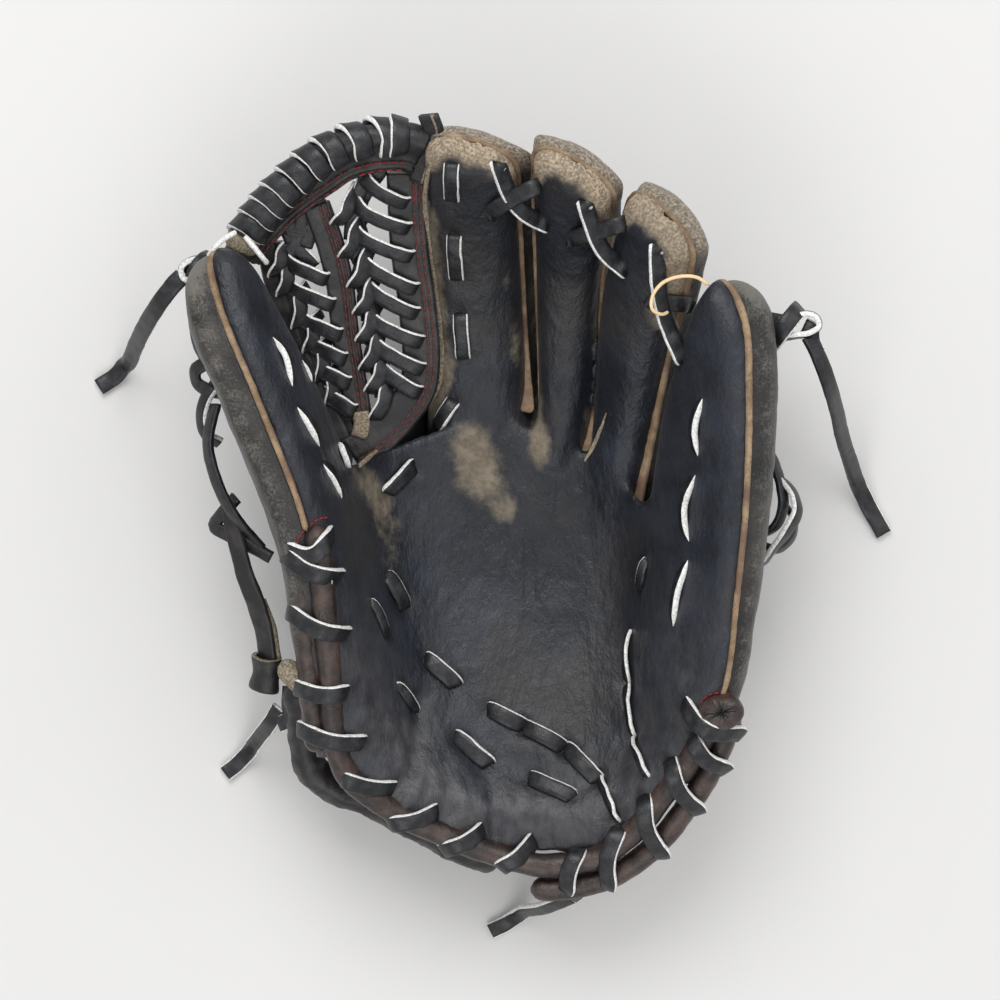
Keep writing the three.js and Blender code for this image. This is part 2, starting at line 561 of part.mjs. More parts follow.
// A lace that ties two neighbouring fingertips, over both fronts and into each.
function tipLace(left, right, v, grow) {
  const near = stalls[left];
  const far = stalls[right];
  const route = [
    near.skin(v - 0.02, 0.9, 1, leather + 2), near.skin(v, 0.75, 1, -1.6), near.skin(v, 0.4, 1, -1.9),
    far.skin(v + 0.01, Math.PI - 0.4, 1, -1.9), far.skin(v, Math.PI - 0.75, 1, -1.6), far.skin(v - 0.02, Math.PI - 0.9, 1, leather + 2),
  ];
  const normal = near.frame(v).n.clone().add(far.frame(v).n).normalize();
  return band(route, route.map(() => normal), laceWidth - 0.8 + 2 * grow, laceThick - 0.4 + 2 * grow);
}

// A lace laid over the palm between two places on it.
function palmLace([from, to], count, grow) {
  const points = [];
  const normals = [];
  for (let i = 0; i <= count * 2; i++) {
    const t = i / (count * 2);
    const [u, v] = [mix(from[0], to[0], t), mix(from[1], to[1], t)];
    const normal = palmNormal(u, v);
    points.push(palmPoint(u, v).addScaledVector(normal, surfaceLift + (i % 2) * stitchHump));
    normals.push(normal);
  }
  return band(points, normals, laceWidth - 0.6 + 2 * grow, laceThick - 0.4 + 2 * grow);
}

// --- Fitting the pieces to each other -------------------------------------------------------

const foldPlan = foldCrown.clone().sub(foldHeel).setZ(0).normalize();
const foldNormal = [foldPlan.y, -foldPlan.x, 0];
const foldOffset = foldNormal[0] * foldHeel.x + foldNormal[1] * foldHeel.y;

function cutAtFold(solid, side) {
  if (side === hand) return solid.trimByPlane(foldNormal, foldOffset + foldGap);
  if (side === thumbSide) return solid.trimByPlane(foldNormal.map((c) => -c), -foldOffset + foldGap);
  return solid;
}

function boxesMeet(a, b) {
  const [p, q] = [a.boundingBox(), b.boundingBox()];
  return [0, 1, 2].every((k) => p.min[k] <= q.max[k] && q.min[k] <= p.max[k]);
}

function largest(solid) {
  return solid.decompose().sort((a, b) => b.volume() - a.volume())[0];
}

function toMesh(name, look, solid) {
  const { vertProperties, triVerts } = solid.getMesh();
  const geometry = new THREE.BufferGeometry();
  geometry.setAttribute('position', new THREE.Float32BufferAttribute(vertProperties, 3));
  geometry.setIndex(new THREE.Uint32BufferAttribute(triVerts, 1));
  geometry.computeVertexNormals();
  const mesh = new THREE.Mesh(geometry, new THREE.MeshStandardMaterial(look));
  mesh.name = name;
  return mesh;
}

const glove = new THREE.Group();
const placed = [];
for (const [name, look, build, side] of pieces) {
  let solid = build(0);
  for (const other of placed) if (boxesMeet(solid, other)) solid = solid.subtract(other);
  solid = largest(cutAtFold(solid, side).simplify(simplifyBy));
  glove.add(toMesh(name, look, solid));
  placed.push(cutAtFold(build(gap), side));
}
for (const name of Object.keys(tails)) glove.add(toMesh(`lace_tail_${name}`, lace, tail(name)));
glove.position.set(...centring);

export default glove;
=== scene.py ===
"""A worn black leather fielder's glove, lying open on its back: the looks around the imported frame."""

import math

import bpy
import numpy as np
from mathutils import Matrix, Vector
from mathutils.bvhtree import BVHTree


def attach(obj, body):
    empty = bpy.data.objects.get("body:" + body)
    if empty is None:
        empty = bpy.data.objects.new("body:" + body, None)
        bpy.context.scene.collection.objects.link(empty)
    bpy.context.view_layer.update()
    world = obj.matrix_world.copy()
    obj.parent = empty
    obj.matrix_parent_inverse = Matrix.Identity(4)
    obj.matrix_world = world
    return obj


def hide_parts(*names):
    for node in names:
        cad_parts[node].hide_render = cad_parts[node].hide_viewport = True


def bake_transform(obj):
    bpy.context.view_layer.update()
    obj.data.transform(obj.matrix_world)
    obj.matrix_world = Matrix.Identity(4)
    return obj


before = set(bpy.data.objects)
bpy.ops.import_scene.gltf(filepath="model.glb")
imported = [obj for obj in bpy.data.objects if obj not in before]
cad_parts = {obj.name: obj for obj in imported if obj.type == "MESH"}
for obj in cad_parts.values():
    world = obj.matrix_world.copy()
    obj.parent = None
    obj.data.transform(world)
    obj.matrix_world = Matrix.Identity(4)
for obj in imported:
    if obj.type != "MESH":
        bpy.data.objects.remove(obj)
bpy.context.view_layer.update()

MM = 0.001

# --- Shared dimensions of the glove, in millimetres ---------------------------------------------

LEATHER = 3.0
LACE_WIDTH = 6.35
LACE_THICK = 2.0
LADDER_THICK = 1.35
SEAM_HALF = 0.7
TIP_START = 0.88
ROUNDNESS = 2.5

STALLS = {
    "thumb": dict(
        outer=[(-54, -90, 80), (-59, -48, 97), (-63, -8, 106), (-79, 36, 109), (-93, 70, 108), (-99, 91, 103)],
        inner=[(-30, -88, 24), (-38, -44, 28), (-50, -4, 46), (-63, 36, 62), (-78, 67, 76), (-90, 92.5, 93)],
        front=[10, 10, 10, 10, 10, 9],
        back=[14, 16, 18, 20, 20, 15],
        mirror=True,
    ),
    "index": dict(
        outer=[(18, 26, 23), (15, 60, 35), (13.2, 91, 55), (12.2, 111, 77), (11.5, 127, 100)],
        inner=[(-22, 26, 23), (-20, 60, 36), (-20, 91, 56), (-21, 116, 80), (-21, 135, 105)],
        front=[20, 15, 12, 10.5, 9],
        back=[19, 15, 13, 12, 11],
    ),
    "middle": dict(
        outer=[(38, 17, 28), (42, 50, 37), (43, 84, 56), (45.5, 103, 77), (46.5, 116, 100)],
        inner=[(22, 24, 23), (21, 60, 35), (19.5, 90, 55), (18.5, 114, 80), (18, 132, 105)],
        front=[20, 15, 12, 10.5, 9],
        back=[19, 15, 13, 12, 11],
    ),
    "ring": dict(
        outer=[(56, -4, 40), (62, 28, 52), (67.5, 58, 68), (72.5, 79, 87), (75, 95, 106)],
        inner=[(41.5, 9, 29), (45.5, 46, 38), (46.5, 78, 56), (50, 101, 79), (54.5, 116, 103)],
        front=[11, 12, 12, 10.5, 9],
        back=[17, 14, 13, 13, 13],
    ),
    "pinky": dict(
        outer=[(70, -99, 77), (85.5, -66, 92), (90, -32, 99), (93, 2, 104), (94, 38, 107), (92.5, 66, 108),
               (86, 83, 105)],
        inner=[(46, -96, 18), (54, -62, 22), (60, -28, 34), (64, 2, 48), (69, 36, 63), (75, 60, 81), (80, 76, 96)],
        front=[10, 10, 10, 10, 10, 10, 9],
        back=[14, 16, 18, 20, 21, 20, 15],
    ),
}

PALM_EDGE_LEFT = [(-54, -86, 81), (-48, -94, 75), (-37, -104, 69)]
PALM_EDGE_RIGHT = [(58, -114, 67), (70, -98, 76), (80, -80, 86)]
PALM_ROWS = [
    (None, None, [(-18, -115, 62.5), (8, -124, 57), (38, -124, 59)]),
    (0.13, 0.13, [(-30, -84, 58), (5, -93, 50), (46, -92, 53)]),
    (0.25, 0.26, [(-30, -52, 52), (8, -55, 43), (48, -54, 46)]),
    (0.38, 0.36, [(-32, -18, 50), (9, -17, 40), (48, -20, 44)]),
    (0.47, 0.42, [(-37, 21, 52), (8, 33, 43), (44, 16, 45)]),
]

THUMB_EDGE = [(-59.5, -6, 106), (-57.5, -30, 102), (-55.5, -58, 93), (-54, -82, 82), (-49.5, -97, 75)]
HEEL_LEFT = [(-49.5, -97, 75), (-34, -110, 66), (-16, -119, 61), (4, -127, 58), (20, -131, 58)]
HEEL_RIGHT = [(24, -131, 58), (41, -128, 60), (54, -118.5, 65), (67, -101.5, 74), (77, -86, 84), (84, -69, 93)]
THUMB_BACK_EDGE = [(-66.8, -12, 101), (-64.4, -38, 96), (-62.4, -64, 88), (-60.5, -88, 76)]
PINKY_BACK_EDGE = [(17, -140.5, 52), (32, -139.5, 53), (45, -136, 55), (60, -126, 60), (75.5, -106, 70),
                   (84, -90, 79), (89.5, -73, 88)]


# --- Curves and frames --------------------------------------------------------------------------

def unit(a):
    return a / np.maximum(np.linalg.norm(a, axis=-1, keepdims=True), 1e-9)


def spline(points, t):
    """A centripetal Catmull-Rom curve through the points, at parameters t from 0 to 1."""
    p = np.asarray(points, float)
    p = np.vstack([2 * p[0] - p[1], p, 2 * p[-1] - p[-2]])
    count = len(p) - 2
    s = np.clip(np.asarray(t, float), 0, 1) * (count - 1)
    i = np.minimum(s.astype(int), count - 2)
    w = (s - i)[..., None]
    a, b, c, d = p[i], p[i + 1], p[i + 2], p[i + 3]
    d0, d1, d2 = (np.linalg.norm(y - x, axis=-1, keepdims=True) ** 0.5 for x, y in ((a, b), (b, c), (c, d)))
    t1 = ((b - a) / d0 - (c - a) / (d0 + d1) + (c - b) / d1) * d1
    t2 = ((c - b) / d1 - (d - b) / (d1 + d2) + (d - c) / d2) * d1
    return b + t1 * w + (-3 * b + 3 * c - 2 * t1 - t2) * w**2 + (2 * b - 2 * c + t1 + t2) * w**3


def resample(points, step):
    """The curve through the points, cut at even steps of about that length."""
    fine = spline(points, np.linspace(0, 1, 40 * len(points)))
    run = np.concatenate([[0], np.cumsum(np.linalg.norm(np.diff(fine, axis=0), axis=1))])
    count = max(int(round(run[-1] / step)), 2)
    at = np.linspace(0, run[-1], count + 1)
    return np.stack([np.interp(at, run, fine[:, k]) for k in range(3)], 1)


def tangents(path):
    return unit(np.gradient(path, axis=0))


class Stall:
    """A finger's tube: a moving frame with its centre, its half width to the outer seam and its front."""

    def __init__(self, outer, inner, front, back, mirror=False):
        self.outer, self.inner, self.depth = outer, inner, {1: front, -1: back}
        self.sign = -1 if mirror else 1

    def centre(self, v):
        return (spline(self.outer, v) + spline(self.inner, v)) / 2

    def frame(self, v):
        v = np.asarray(v, float)
        w = (spline(self.outer, v) - spline(self.inner, v)) / 2
        t = unit(self.centre(np.minimum(v + 0.02, 1)) - self.centre(np.maximum(v - 0.02, 0)))
        n = unit(np.cross(w, t)) * self.sign
        return self.centre(v), w, t, n

    def taper(self, v):
        s = np.maximum(0, (np.asarray(v, float) - TIP_START) / (1 - TIP_START))
        return np.sqrt(np.maximum(1 - s**3.2, 0))

    def thickness(self, v, face):
        values = self.depth[face]
        return np.interp(np.asarray(v, float) * (len(values) - 1), range(len(values)), values)

    def skin(self, v, angle, face, inset=0.0):
        v, angle = np.broadcast_arrays(np.asarray(v, float), np.asarray(angle, float))
        c, w, _, n = self.frame(v)
        k = self.taper(v)
        across = np.maximum(np.linalg.norm(w, axis=-1) * k - inset, 0.3)
        height = np.maximum(self.thickness(v, face) * k - inset, 0.3)
        x = np.sign(np.cos(angle)) * np.abs(np.cos(angle)) ** (2 / ROUNDNESS)
        h = np.abs(np.sin(angle)) ** (2 / ROUNDNESS)
        return c + unit(w) * (x * across)[..., None] + n * (face * h * height)[..., None]

    def seam_angle(self, v, face):
        height = np.maximum(self.thickness(v, face) * self.taper(v), 0.4)
        return np.arcsin(np.minimum(0.7, (SEAM_HALF / height) ** (ROUNDNESS / 2)))


stalls = {name: Stall(**shape) for name, shape in STALLS.items()}


def palm_point(u, v):
    """The palm's surface: u from the thumb's seam to the little finger's, v from the heel to the fingers."""
    u, v = np.broadcast_arrays(np.asarray(u, float), np.asarray(v, float))
    rows = []
    for thumb_v, pinky_v, middle in PALM_ROWS:
        left, right = PALM_EDGE_LEFT, PALM_EDGE_RIGHT
        if thumb_v is not None:
            left = [stalls["thumb"].skin(thumb_v, a, 1) for a in (0.35, 0.9, 1.5)]
            right = [stalls["pinky"].skin(pinky_v, a, 1) for a in (1.5, 0.9, 0.35)]
        rows.append(spline([*left, *middle, *right], u))
    rows = np.stack(rows)
    rows = np.concatenate([[2 * rows[0] - rows[1]], rows, [2 * rows[-1] - rows[-2]]])
    s = np.clip(v, 0, 1) * 4
    i = np.minimum(s.astype(int), 3)
    w = (s - i)[..., None]
    pick = lambda k: np.take_along_axis(rows, (i + k)[None, ..., None].repeat(3, -1), 0)[0]
    a, b, c, d = (pick(k) for k in range(4))
    return 0.5 * (2 * b + (c - a) * w + (2 * a - 5 * b + 4 * c - d) * w**2 + (3 * b - a - 3 * c + d) * w**3)


def palm_normal(u, v):
    e = 0.01
    du = palm_point(np.minimum(u + e, 1), v) - palm_point(np.maximum(u - e, 0), v)
    dv = palm_point(u, np.minimum(v + e, 1)) - palm_point(u, np.maximum(v - e, 0))
    return unit(np.cross(du, dv))


def web_height(y):
    return 48 + 0.0028 * (y - 5) ** 2


# --- Meshes -------------------------------------------------------------------------------------

def hashed(i, j, k, seed):
    n = (i * 374761393 + j * 668265263 + k * 2147483647 + seed * 974634777) & 0xFFFFFFFF
    n = ((n ^ (n >> 13)) * 1274126177) & 0xFFFFFFFF
    return ((n ^ (n >> 16)) & 0xFFFF) / 65535.0


def noise(p, size, seed=0):
    """Smooth value noise from -1 to 1, with lumps of about that size."""
    q = np.asarray(p, float) / size
    base = np.floor(q).astype(np.int64)
    f = q - base
    f = f * f * (3 - 2 * f)
    total = 0
    for dx in (0, 1):
        for dy in (0, 1):
            for dz in (0, 1):
                weight = np.ones(len(q))
                for axis, bit in enumerate((dx, dy, dz)):
                    weight = weight * (f[:, axis] if bit else 1 - f[:, axis])
                total = total + weight * hashed(base[:, 0] + dx, base[:, 1] + dy, base[:, 2] + dz, seed)
    return total * 2 - 1


def jitter(points, amount, size, seed):
    """The points, each moved a little in all three directions, so that nothing is perfectly even."""
    return points + amount * np.stack([noise(points, size, seed + k) for k in range(3)], 1)


def make(name, points, faces, material, slots=None):
    """A mesh object from points in millimetres."""
    mesh = bpy.data.meshes.new(name)
    mesh.from_pydata(np.asarray(points, float).reshape(-1, 3) * MM, [], faces)
    obj = bpy.data.objects.new(name, mesh)
    bpy.context.scene.collection.objects.link(obj)
    materials = material if isinstance(material, (list, tuple)) else [material]
    for m in materials:
        mesh.materials.append(m)
    if slots is not None:
        mesh.polygons.foreach_set("material_index", np.asarray(slots, np.int32))
    mesh.polygons.foreach_set("use_smooth", np.full(len(mesh.polygons), True))
    mesh.update()
    return obj


def grid_faces(rows, columns, start=0, closed=False):
    """Quads over a grid of points, row by row; closed joins each row's last point to its first."""
    j, i = np.meshgrid(np.arange(rows - 1), np.arange(columns if closed else columns - 1), indexing="ij")
    a = start + j * columns + i
    b = start + j * columns + (i + 1) % columns
    return np.stack([a, b, b + columns, a + columns], -1).reshape(-1, 4)


def sheet_parts(outer, inner):
    """Points and quads of a closed sheet between two grids of points."""
    rows, columns = outer.shape[:2]
    size = rows * columns
    top = grid_faces(rows, columns)
    bottom = grid_faces(rows, columns, size)[:, ::-1]
    edge = np.concatenate([
        np.arange(columns), np.arange(1, rows) * columns + columns - 1,
        size - 2 - np.arange(columns - 1), np.arange(rows - 2, 0, -1) * columns,
    ])
    ahead = np.roll(edge, -1)
    rim = np.stack([edge, edge + size, ahead + size, ahead], -1)
    return np.concatenate([outer.reshape(-1, 3), inner.reshape(-1, 3)]), np.concatenate([top, bottom, rim])


def join_parts(parts):
    """Several meshes of quads as one."""
    points, faces, start = [], [], 0
    for p, f in parts:
        points.append(p)
        faces.append(f + start)
        start += len(p)
    return np.concatenate(points), np.concatenate(faces)


def baked(obj):
    """Applies the object's modifiers."""
    graph = bpy.context.evaluated_depsgraph_get()
    graph.update()
    mesh = bpy.data.meshes.new_from_object(obj.evaluated_get(graph))
    obj.modifiers.clear()
    old, obj.data = obj.data, mesh
    bpy.data.meshes.remove(old)
    return obj


def remeshed(obj, voxel, rounds):
    """Joins overlapping sheets into one skin and rounds off its creases."""
    m = obj.modifiers.new("join", "REMESH")
    m.mode, m.voxel_size, m.use_smooth_shade = "VOXEL", voxel * MM, True
    m = obj.modifiers.new("soften", "SMOOTH")
    m.factor, m.iterations = 0.5, rounds
    return baked(obj)


def read(obj):
    """The mesh's points in millimetres and its normals."""
    count = len(obj.data.vertices)
    co, no = np.zeros(count * 3), np.zeros(count * 3)
    obj.data.vertices.foreach_get("co", co)
    obj.data.vertices.foreach_get("normal", no)
    return co.reshape(-1, 3) / MM, no.reshape(-1, 3)


def write(obj, points):
    """Moves the points of the mesh to the given places in millimetres."""
    obj.data.vertices.foreach_set("co", (points * MM).ravel())
    obj.data.update()


def paint(obj, name, values):
    """Stores a number at each point, which the materials read."""
    attribute = obj.data.attributes.new(name, "FLOAT", "POINT")
    attribute.data.foreach_set("value", np.asarray(values, np.float32))


def ring_sweep(path, ups, section):
    """Points of a section carried along a path. The section's x lies across and its y along the up."""
    tangent = tangents(path)
    side = unit(np.cross(tangent, ups))
    up = unit(np.cross(side, tangent))
    section = np.asarray(section, float)
    if section.ndim == 2:
        section = np.broadcast_to(section, (len(path), *section.shape))
    return path[:, None] + side[:, None] * section[..., :1] + up[:, None] * section[..., 1:2]


def sweep_parts(rings):
    """Points and faces of a closed tube through rings of points, capped at both ends."""
    rows, columns = rings.shape[:2]
    faces = [tuple(f) for f in grid_faces(rows, columns, closed=True)[:, ::-1]]
    faces.append(tuple(range(columns)))
    faces.append(tuple(range(rows * columns - 1, (rows - 1) * columns - 1, -1)))
    return rings.reshape(-1, 3), faces


def along(ups, count):
    """The given up vectors, spread evenly over the count of points of a path."""
    ups = np.atleast_2d(np.asarray(ups, float))
    if len(ups) == 1:
        return np.repeat(unit(ups), count, 0)
    at = np.linspace(0, len(ups) - 1, count)
    return unit(np.stack([np.interp(at, range(len(ups)), ups[:, k]) for k in range(3)], 1))


# --- Laces --------------------------------------------------------------------------------------

def lace_section(width, thick):
    """A flat lace with soft corners. Faces 0..3 are its raw cut edge on the +x side."""
    w, t, r = width / 2, thick / 2, 0.45
    return [(w, -t + r), (w, t - r), (w - r, t), (w * 0.4, t + 0.12), (-w * 0.4, t + 0.12), (-w + r, t),
            (-w, t - r), (-w, -t + r), (-w + r, -t), (0, -t), (w - r, -t), (w - 0.1, -t + 0.2)]


class Laces:
    """Gathers strips of lace into one object."""

    def __init__(self):
        self.points, self.faces, self.slots, self.count = [], [], [], 0

    def strip(self, route, ups=(0, 0, 1), width=LACE_WIDTH, thick=LACE_THICK, step=1.1, raw=1, side=None,
              tilt=0.0, taper=0.0, bare=0):
        """Adds one strip along the route; raw says which cut edges show pale: 1, -1, 0 none or 2 both.

        The ups are spread evenly along the route, or stand square to a given side. A tilt in degrees
        lifts the strip's positive edge; a taper draws both ends in over that share of the length.
        """
        path = resample(route, step)
        tangent = tangents(path)
        ups = np.cross(np.asarray(side, float), tangent) if side is not None else along(ups, len(path))
        if tilt:
            across = unit(np.cross(tangent, ups))
            ups = unit(ups) * math.cos(math.radians(tilt)) - across * math.sin(math.radians(tilt))
        section = np.array(lace_section(width, thick))
        if taper:
            ends = np.linspace(0, 1, len(path))
            scale = np.sin(np.clip(np.minimum(ends, 1 - ends) / taper, 0.02, 1) * math.pi / 2) ** 0.8
            section = section[None] * scale[:, None, None]
        rings = ring_sweep(path, ups, section)
        points, faces = sweep_parts(rings)
        columns = rings.shape[1]
        pale = {1: (0, 1, 11, 10), -1: (5, 6, 7), 0: (), 2: (0, 1, 10, 11, 5, 6, 7)}[raw]
        slots = [1 if k in pale else 0 for _ in range(rings.shape[0] - 1) for k in range(columns)] + [bare, bare]
        self.points.append(points)
        self.faces += [tuple(i + self.count for i in f) for f in faces]
        self.slots += slots
        self.count += len(points)
        return self

    def lay(self, name, body, *nodes, slot="lace_leather", materials=None):
        """Makes the object, and says what it rides on and which CAD nodes it stands for."""
        points = np.concatenate(self.points)
        obj = make(name, jitter(points, 0.12, 3.0, 1), self.faces, materials or LACE, slots=self.slots)
        return placed(obj, body, slot, *nodes)


# --- Materials ----------------------------------------------------------------------------------

class Nodes:
    """A short way to write a material's node tree."""

    def __init__(self, name):
        self.material = bpy.data.materials.new(name)
        self.material.use_nodes = True
        self.tree = self.material.node_tree
        self.shader = self.tree.nodes["Principled BSDF"]
        self.place = self.add("ShaderNodeTexCoord").outputs["Object"]

    def add(self, kind, **values):
        node = self.tree.nodes.new(kind)
        for key, value in values.items():
            setattr(node, key, value)
        return node

    def link(self, a, b):
        self.tree.links.new(a, b)

    def put(self, socket, value):
        if isinstance(value, bpy.types.NodeSocket):
            self.link(value, socket)
        else:
            socket.default_value = value

    def noise(self, size_mm, detail=4.0, rough=0.55, stretch=None):
        node = self.add("ShaderNodeTexNoise")
        node.inputs["Scale"].default_value = 1 / (size_mm * MM)
        node.inputs["Detail"].default_value = detail
        node.inputs["Roughness"].default_value = rough
        place = self.place
        if stretch:
            mapping = self.add("ShaderNodeMapping")
            mapping.inputs["Scale"].default_value = stretch
            self.link(place, mapping.inputs["Vector"])
            place = mapping.outputs["Vector"]
        self.link(place, node.inputs["Vector"])
        return node.outputs["Fac"]

    def cells(self, size_mm, feature="F1"):
        node = self.add("ShaderNodeTexVoronoi", feature=feature)
        node.inputs["Scale"].default_value = 1 / (size_mm * MM)
        self.link(self.place, node.inputs["Vector"])
        return node.outputs["Distance"]

    def attribute(self, name):
        return self.add("ShaderNodeAttribute", attribute_name=name).outputs["Fac"]

    def math(self, kind, a, b=0.0, clamp=False):
        node = self.add("ShaderNodeMath", operation=kind, use_clamp=clamp)
        self.put(node.inputs[0], a)
        self.put(node.inputs[1], b)
        return node.outputs[0]

    def ramp(self, value, low, high):
        node = self.add("ShaderNodeMapRange", interpolation_type="SMOOTHSTEP")
        self.put(node.inputs["Value"], value)
        node.inputs["From Min"].default_value = low
        node.inputs["From Max"].default_value = high
        return node.outputs["Result"]

    def mix(self, factor, a, b):
        node = self.add("ShaderNodeMix", data_type="RGBA")
        self.put(node.inputs[0], factor)
        self.put(node.inputs[6], (*a, 1) if isinstance(a, tuple) else a)
        self.put(node.inputs[7], (*b, 1) if isinstance(b, tuple) else b)
        return node.outputs[2]

    def bump(self, height, depth_mm, strength=1.0, under=None):
        node = self.add("ShaderNodeBump")
        node.inputs["Strength"].default_value = strength
        node.inputs["Distance"].default_value = depth_mm * MM
        self.link(height, node.inputs["Height"])
        if under is not None:
            self.link(under, node.inputs["Normal"])
        return node.outputs["Normal"]

    def finish(self, colour, rough, normal=None, specular=0.5, sheen=0.0):
        self.put(self.shader.inputs["Base Color"], (*colour, 1) if isinstance(colour, tuple) else colour)
        self.put(self.shader.inputs["Roughness"], rough)
        self.shader.inputs["Specular IOR Level"].default_value = specular
        self.shader.inputs["Sheen Weight"].default_value = sheen
        if normal is not None:
            self.link(normal, self.shader.inputs["Normal"])
        return self.material


def palm_leather():
    """Oiled black leather, with rubbed tan patches where the wear attribute is high, a painted sheen on the pads and
    painted shade round the lace holes.
    """
    n = Nodes("palm_leather")
    cloud = n.noise(26, 4)
    tint = n.mix(n.ramp(cloud, 0.35, 0.68), (0.0032, 0.0050, 0.0095), (0.0150, 0.0190, 0.0300))
    warm = n.mix(n.ramp(n.noise(55, 3), 0.45, 0.7), tint, (0.019, 0.0165, 0.016))
    scuff = n.math("MULTIPLY", n.ramp(n.noise(1.6, 6, 0.7), 0.55, 0.75), 0.35)
    greyed = n.mix(scuff, warm, (0.055, 0.058, 0.066))
    wear = n.attribute("wear")
    broken = n.math("ADD", wear, n.math("MULTIPLY", n.math("SUBTRACT", n.noise(7.5, 8, 0.66), 0.5), 0.95))
    tan = n.mix(n.ramp(n.noise(4.5, 7, 0.72), 0.3, 0.7), (0.105, 0.085, 0.062), (0.215, 0.180, 0.130))
    bare = n.mix(n.ramp(n.noise(1.1, 6, 0.75), 0.40, 0.62), (0.16, 0.125, 0.085), (0.47, 0.375, 0.265))
    tan = n.mix(n.math("MULTIPLY", n.attribute("pale"), n.ramp(n.noise(3.0, 6, 0.7), 0.15, 0.5)), tan, bare)
    mask = n.ramp(broken, 0.36, 0.86)
    worn = n.mix(mask, greyed, tan)
    speck = n.ramp(n.math("ADD", n.attribute("scuff"), n.math("SUBTRACT", n.noise(1.1, 3, 0.6), 0.5)), 0.5, 0.72)
    worn = n.mix(n.math("MULTIPLY", speck, 0.7), worn, (0.22, 0.20, 0.165))
    # Painted sheen: a lighter grey mixed in over the heel pads and the fronts of the rolls, standing in for the light
    # they catch.
    pad_sheen = n.mix(n.math("MULTIPLY", n.attribute("rub_and_sheen"), n.ramp(n.noise(9.0, 5, 0.6), 0.1, 0.85)), worn,
                   (0.098, 0.096, 0.102))
    # Painted shade: darker in the dimples drawn in round the lace holes.
    shade = n.mix(n.attribute("dark"), pad_sheen, (0.006, 0.006, 0.007))
    rough = n.math("ADD", n.math("MULTIPLY", n.noise(7, 5), 0.30),
                   n.math("ADD", 0.20, n.math("MULTIPLY", mask, 0.34)))
    grain = n.bump(n.cells(0.85), 0.10, 0.55)
    pores = n.bump(n.noise(0.5, 3), 0.07, 0.5, grain)
    creases = n.bump(n.noise(3.6, 7, 0.62, (1.0, 0.5, 1.0)), 1.15, 0.8, pores)
    return n.finish(shade, rough, creases, 0.44, 0.04)


def back_leather():
    """The backs of the stalls: black, with a fine grey speckle where the colour has rubbed off."""
    n = Nodes("back_leather")
    cloud = n.ramp(n.noise(18, 4), 0.35, 0.7)
    tint = n.mix(cloud, (0.012, 0.0115, 0.011), (0.034, 0.030, 0.027))
    wear = n.attribute("wear")
    fine = n.noise(0.9, 5, 0.75)
    coarse = n.noise(6.0, 6, 0.6)
    level = n.math("ADD", n.math("MULTIPLY", wear, 0.55),
                   n.math("ADD", n.math("MULTIPLY", fine, 0.6), n.math("MULTIPLY", coarse, 0.35)))
    speck = n.ramp(level, 0.74, 0.98)
    worn = n.mix(n.math("MULTIPLY", speck, 0.7), tint, (0.19, 0.175, 0.15))
    bare = n.mix(n.ramp(n.noise(1.1, 6, 0.75), 0.40, 0.62), (0.10, 0.085, 0.066), (0.36, 0.30, 0.225))
    ragged = n.math("MULTIPLY", n.math("SUBTRACT", n.noise(3.2, 6, 0.7), 0.5), 1.1)
    worn = n.mix(n.ramp(n.math("ADD", n.attribute("pale"), ragged), 0.35, 0.75), worn, bare)
    # Painted shade: darker along the seams of each stall's back.
    shade = n.mix(n.attribute("dark"), worn, (0.008, 0.008, 0.009))
    rough = n.math("ADD", n.math("MULTIPLY", speck, 0.2), 0.42)
    grain = n.bump(n.cells(0.8), 0.12, 0.6)
    pits = n.bump(fine, 0.16, 0.6, grain)
    creases = n.bump(n.noise(4.2, 6, 0.6), 0.6, 0.5, pits)
    return n.finish(shade, rough, creases, 0.4, 0.05)


def lace_top():
    n = Nodes("lace_top")
    tint = n.mix(n.ramp(n.noise(4, 4), 0.4, 0.7), (0.008, 0.0085, 0.010), (0.024, 0.025, 0.028))
    rub_and_sheen = n.ramp(n.noise(1.3, 5, 0.7), 0.6, 0.8)
    colour = n.mix(n.math("MULTIPLY", rub_and_sheen, 0.4), tint, (0.09, 0.088, 0.082))
    grain = n.bump(n.cells(0.7), 0.10, 0.6)
    creases = n.bump(n.noise(1.8, 4), 0.22, 0.6, grain)
    return n.finish(colour, 0.40, creases, 0.45)


def lace_edge():
    n = Nodes("lace_edge")
    fibre = n.noise(0.8, 6, 0.7)
    colour = n.mix(n.ramp(fibre, 0.30, 0.62), (0.42, 0.41, 0.385), (0.86, 0.86, 0.84))
    return n.finish(colour, 0.85, n.bump(fibre, 0.2, 0.7), 0.25)


def welt_leather():
    n = Nodes("welt_leather")
    fibre = n.noise(0.9, 6, 0.7)
    base = n.mix(n.ramp(n.noise(7, 4), 0.35, 0.7), (0.20, 0.135, 0.078), (0.36, 0.26, 0.165))
    stained = n.mix(n.ramp(n.noise(16, 4), 0.48, 0.66), base, (0.17, 0.105, 0.075))
    colour = n.mix(n.ramp(fibre, 0.52, 0.72), stained, (0.10, 0.062, 0.038))
    return n.finish(colour, 0.8, n.bump(fibre, 0.35, 0.8), 0.25)


def binding_leather():
    n = Nodes("binding_leather")
    tint = n.mix(n.ramp(n.noise(7, 5), 0.38, 0.68), (0.020, 0.013, 0.011), (0.062, 0.038, 0.030))
    rub_and_sheen = n.ramp(n.noise(1.6, 6, 0.7), 0.58, 0.78)
    colour = n.mix(n.math("MULTIPLY", rub_and_sheen, 0.45), tint, (0.16, 0.115, 0.09))
    # Painted shade: darker along the seam of each roll and in the pinched middle and folds of the gathered end.
    shade = n.mix(n.attribute("dark"), colour, (0.008, 0.006, 0.006))
    grain = n.bump(n.cells(0.8), 0.12, 0.6)
    creases = n.bump(n.noise(2.6, 6, 0.65), 0.6, 0.75, grain)
    return n.finish(shade, 0.36, creases, 0.5)


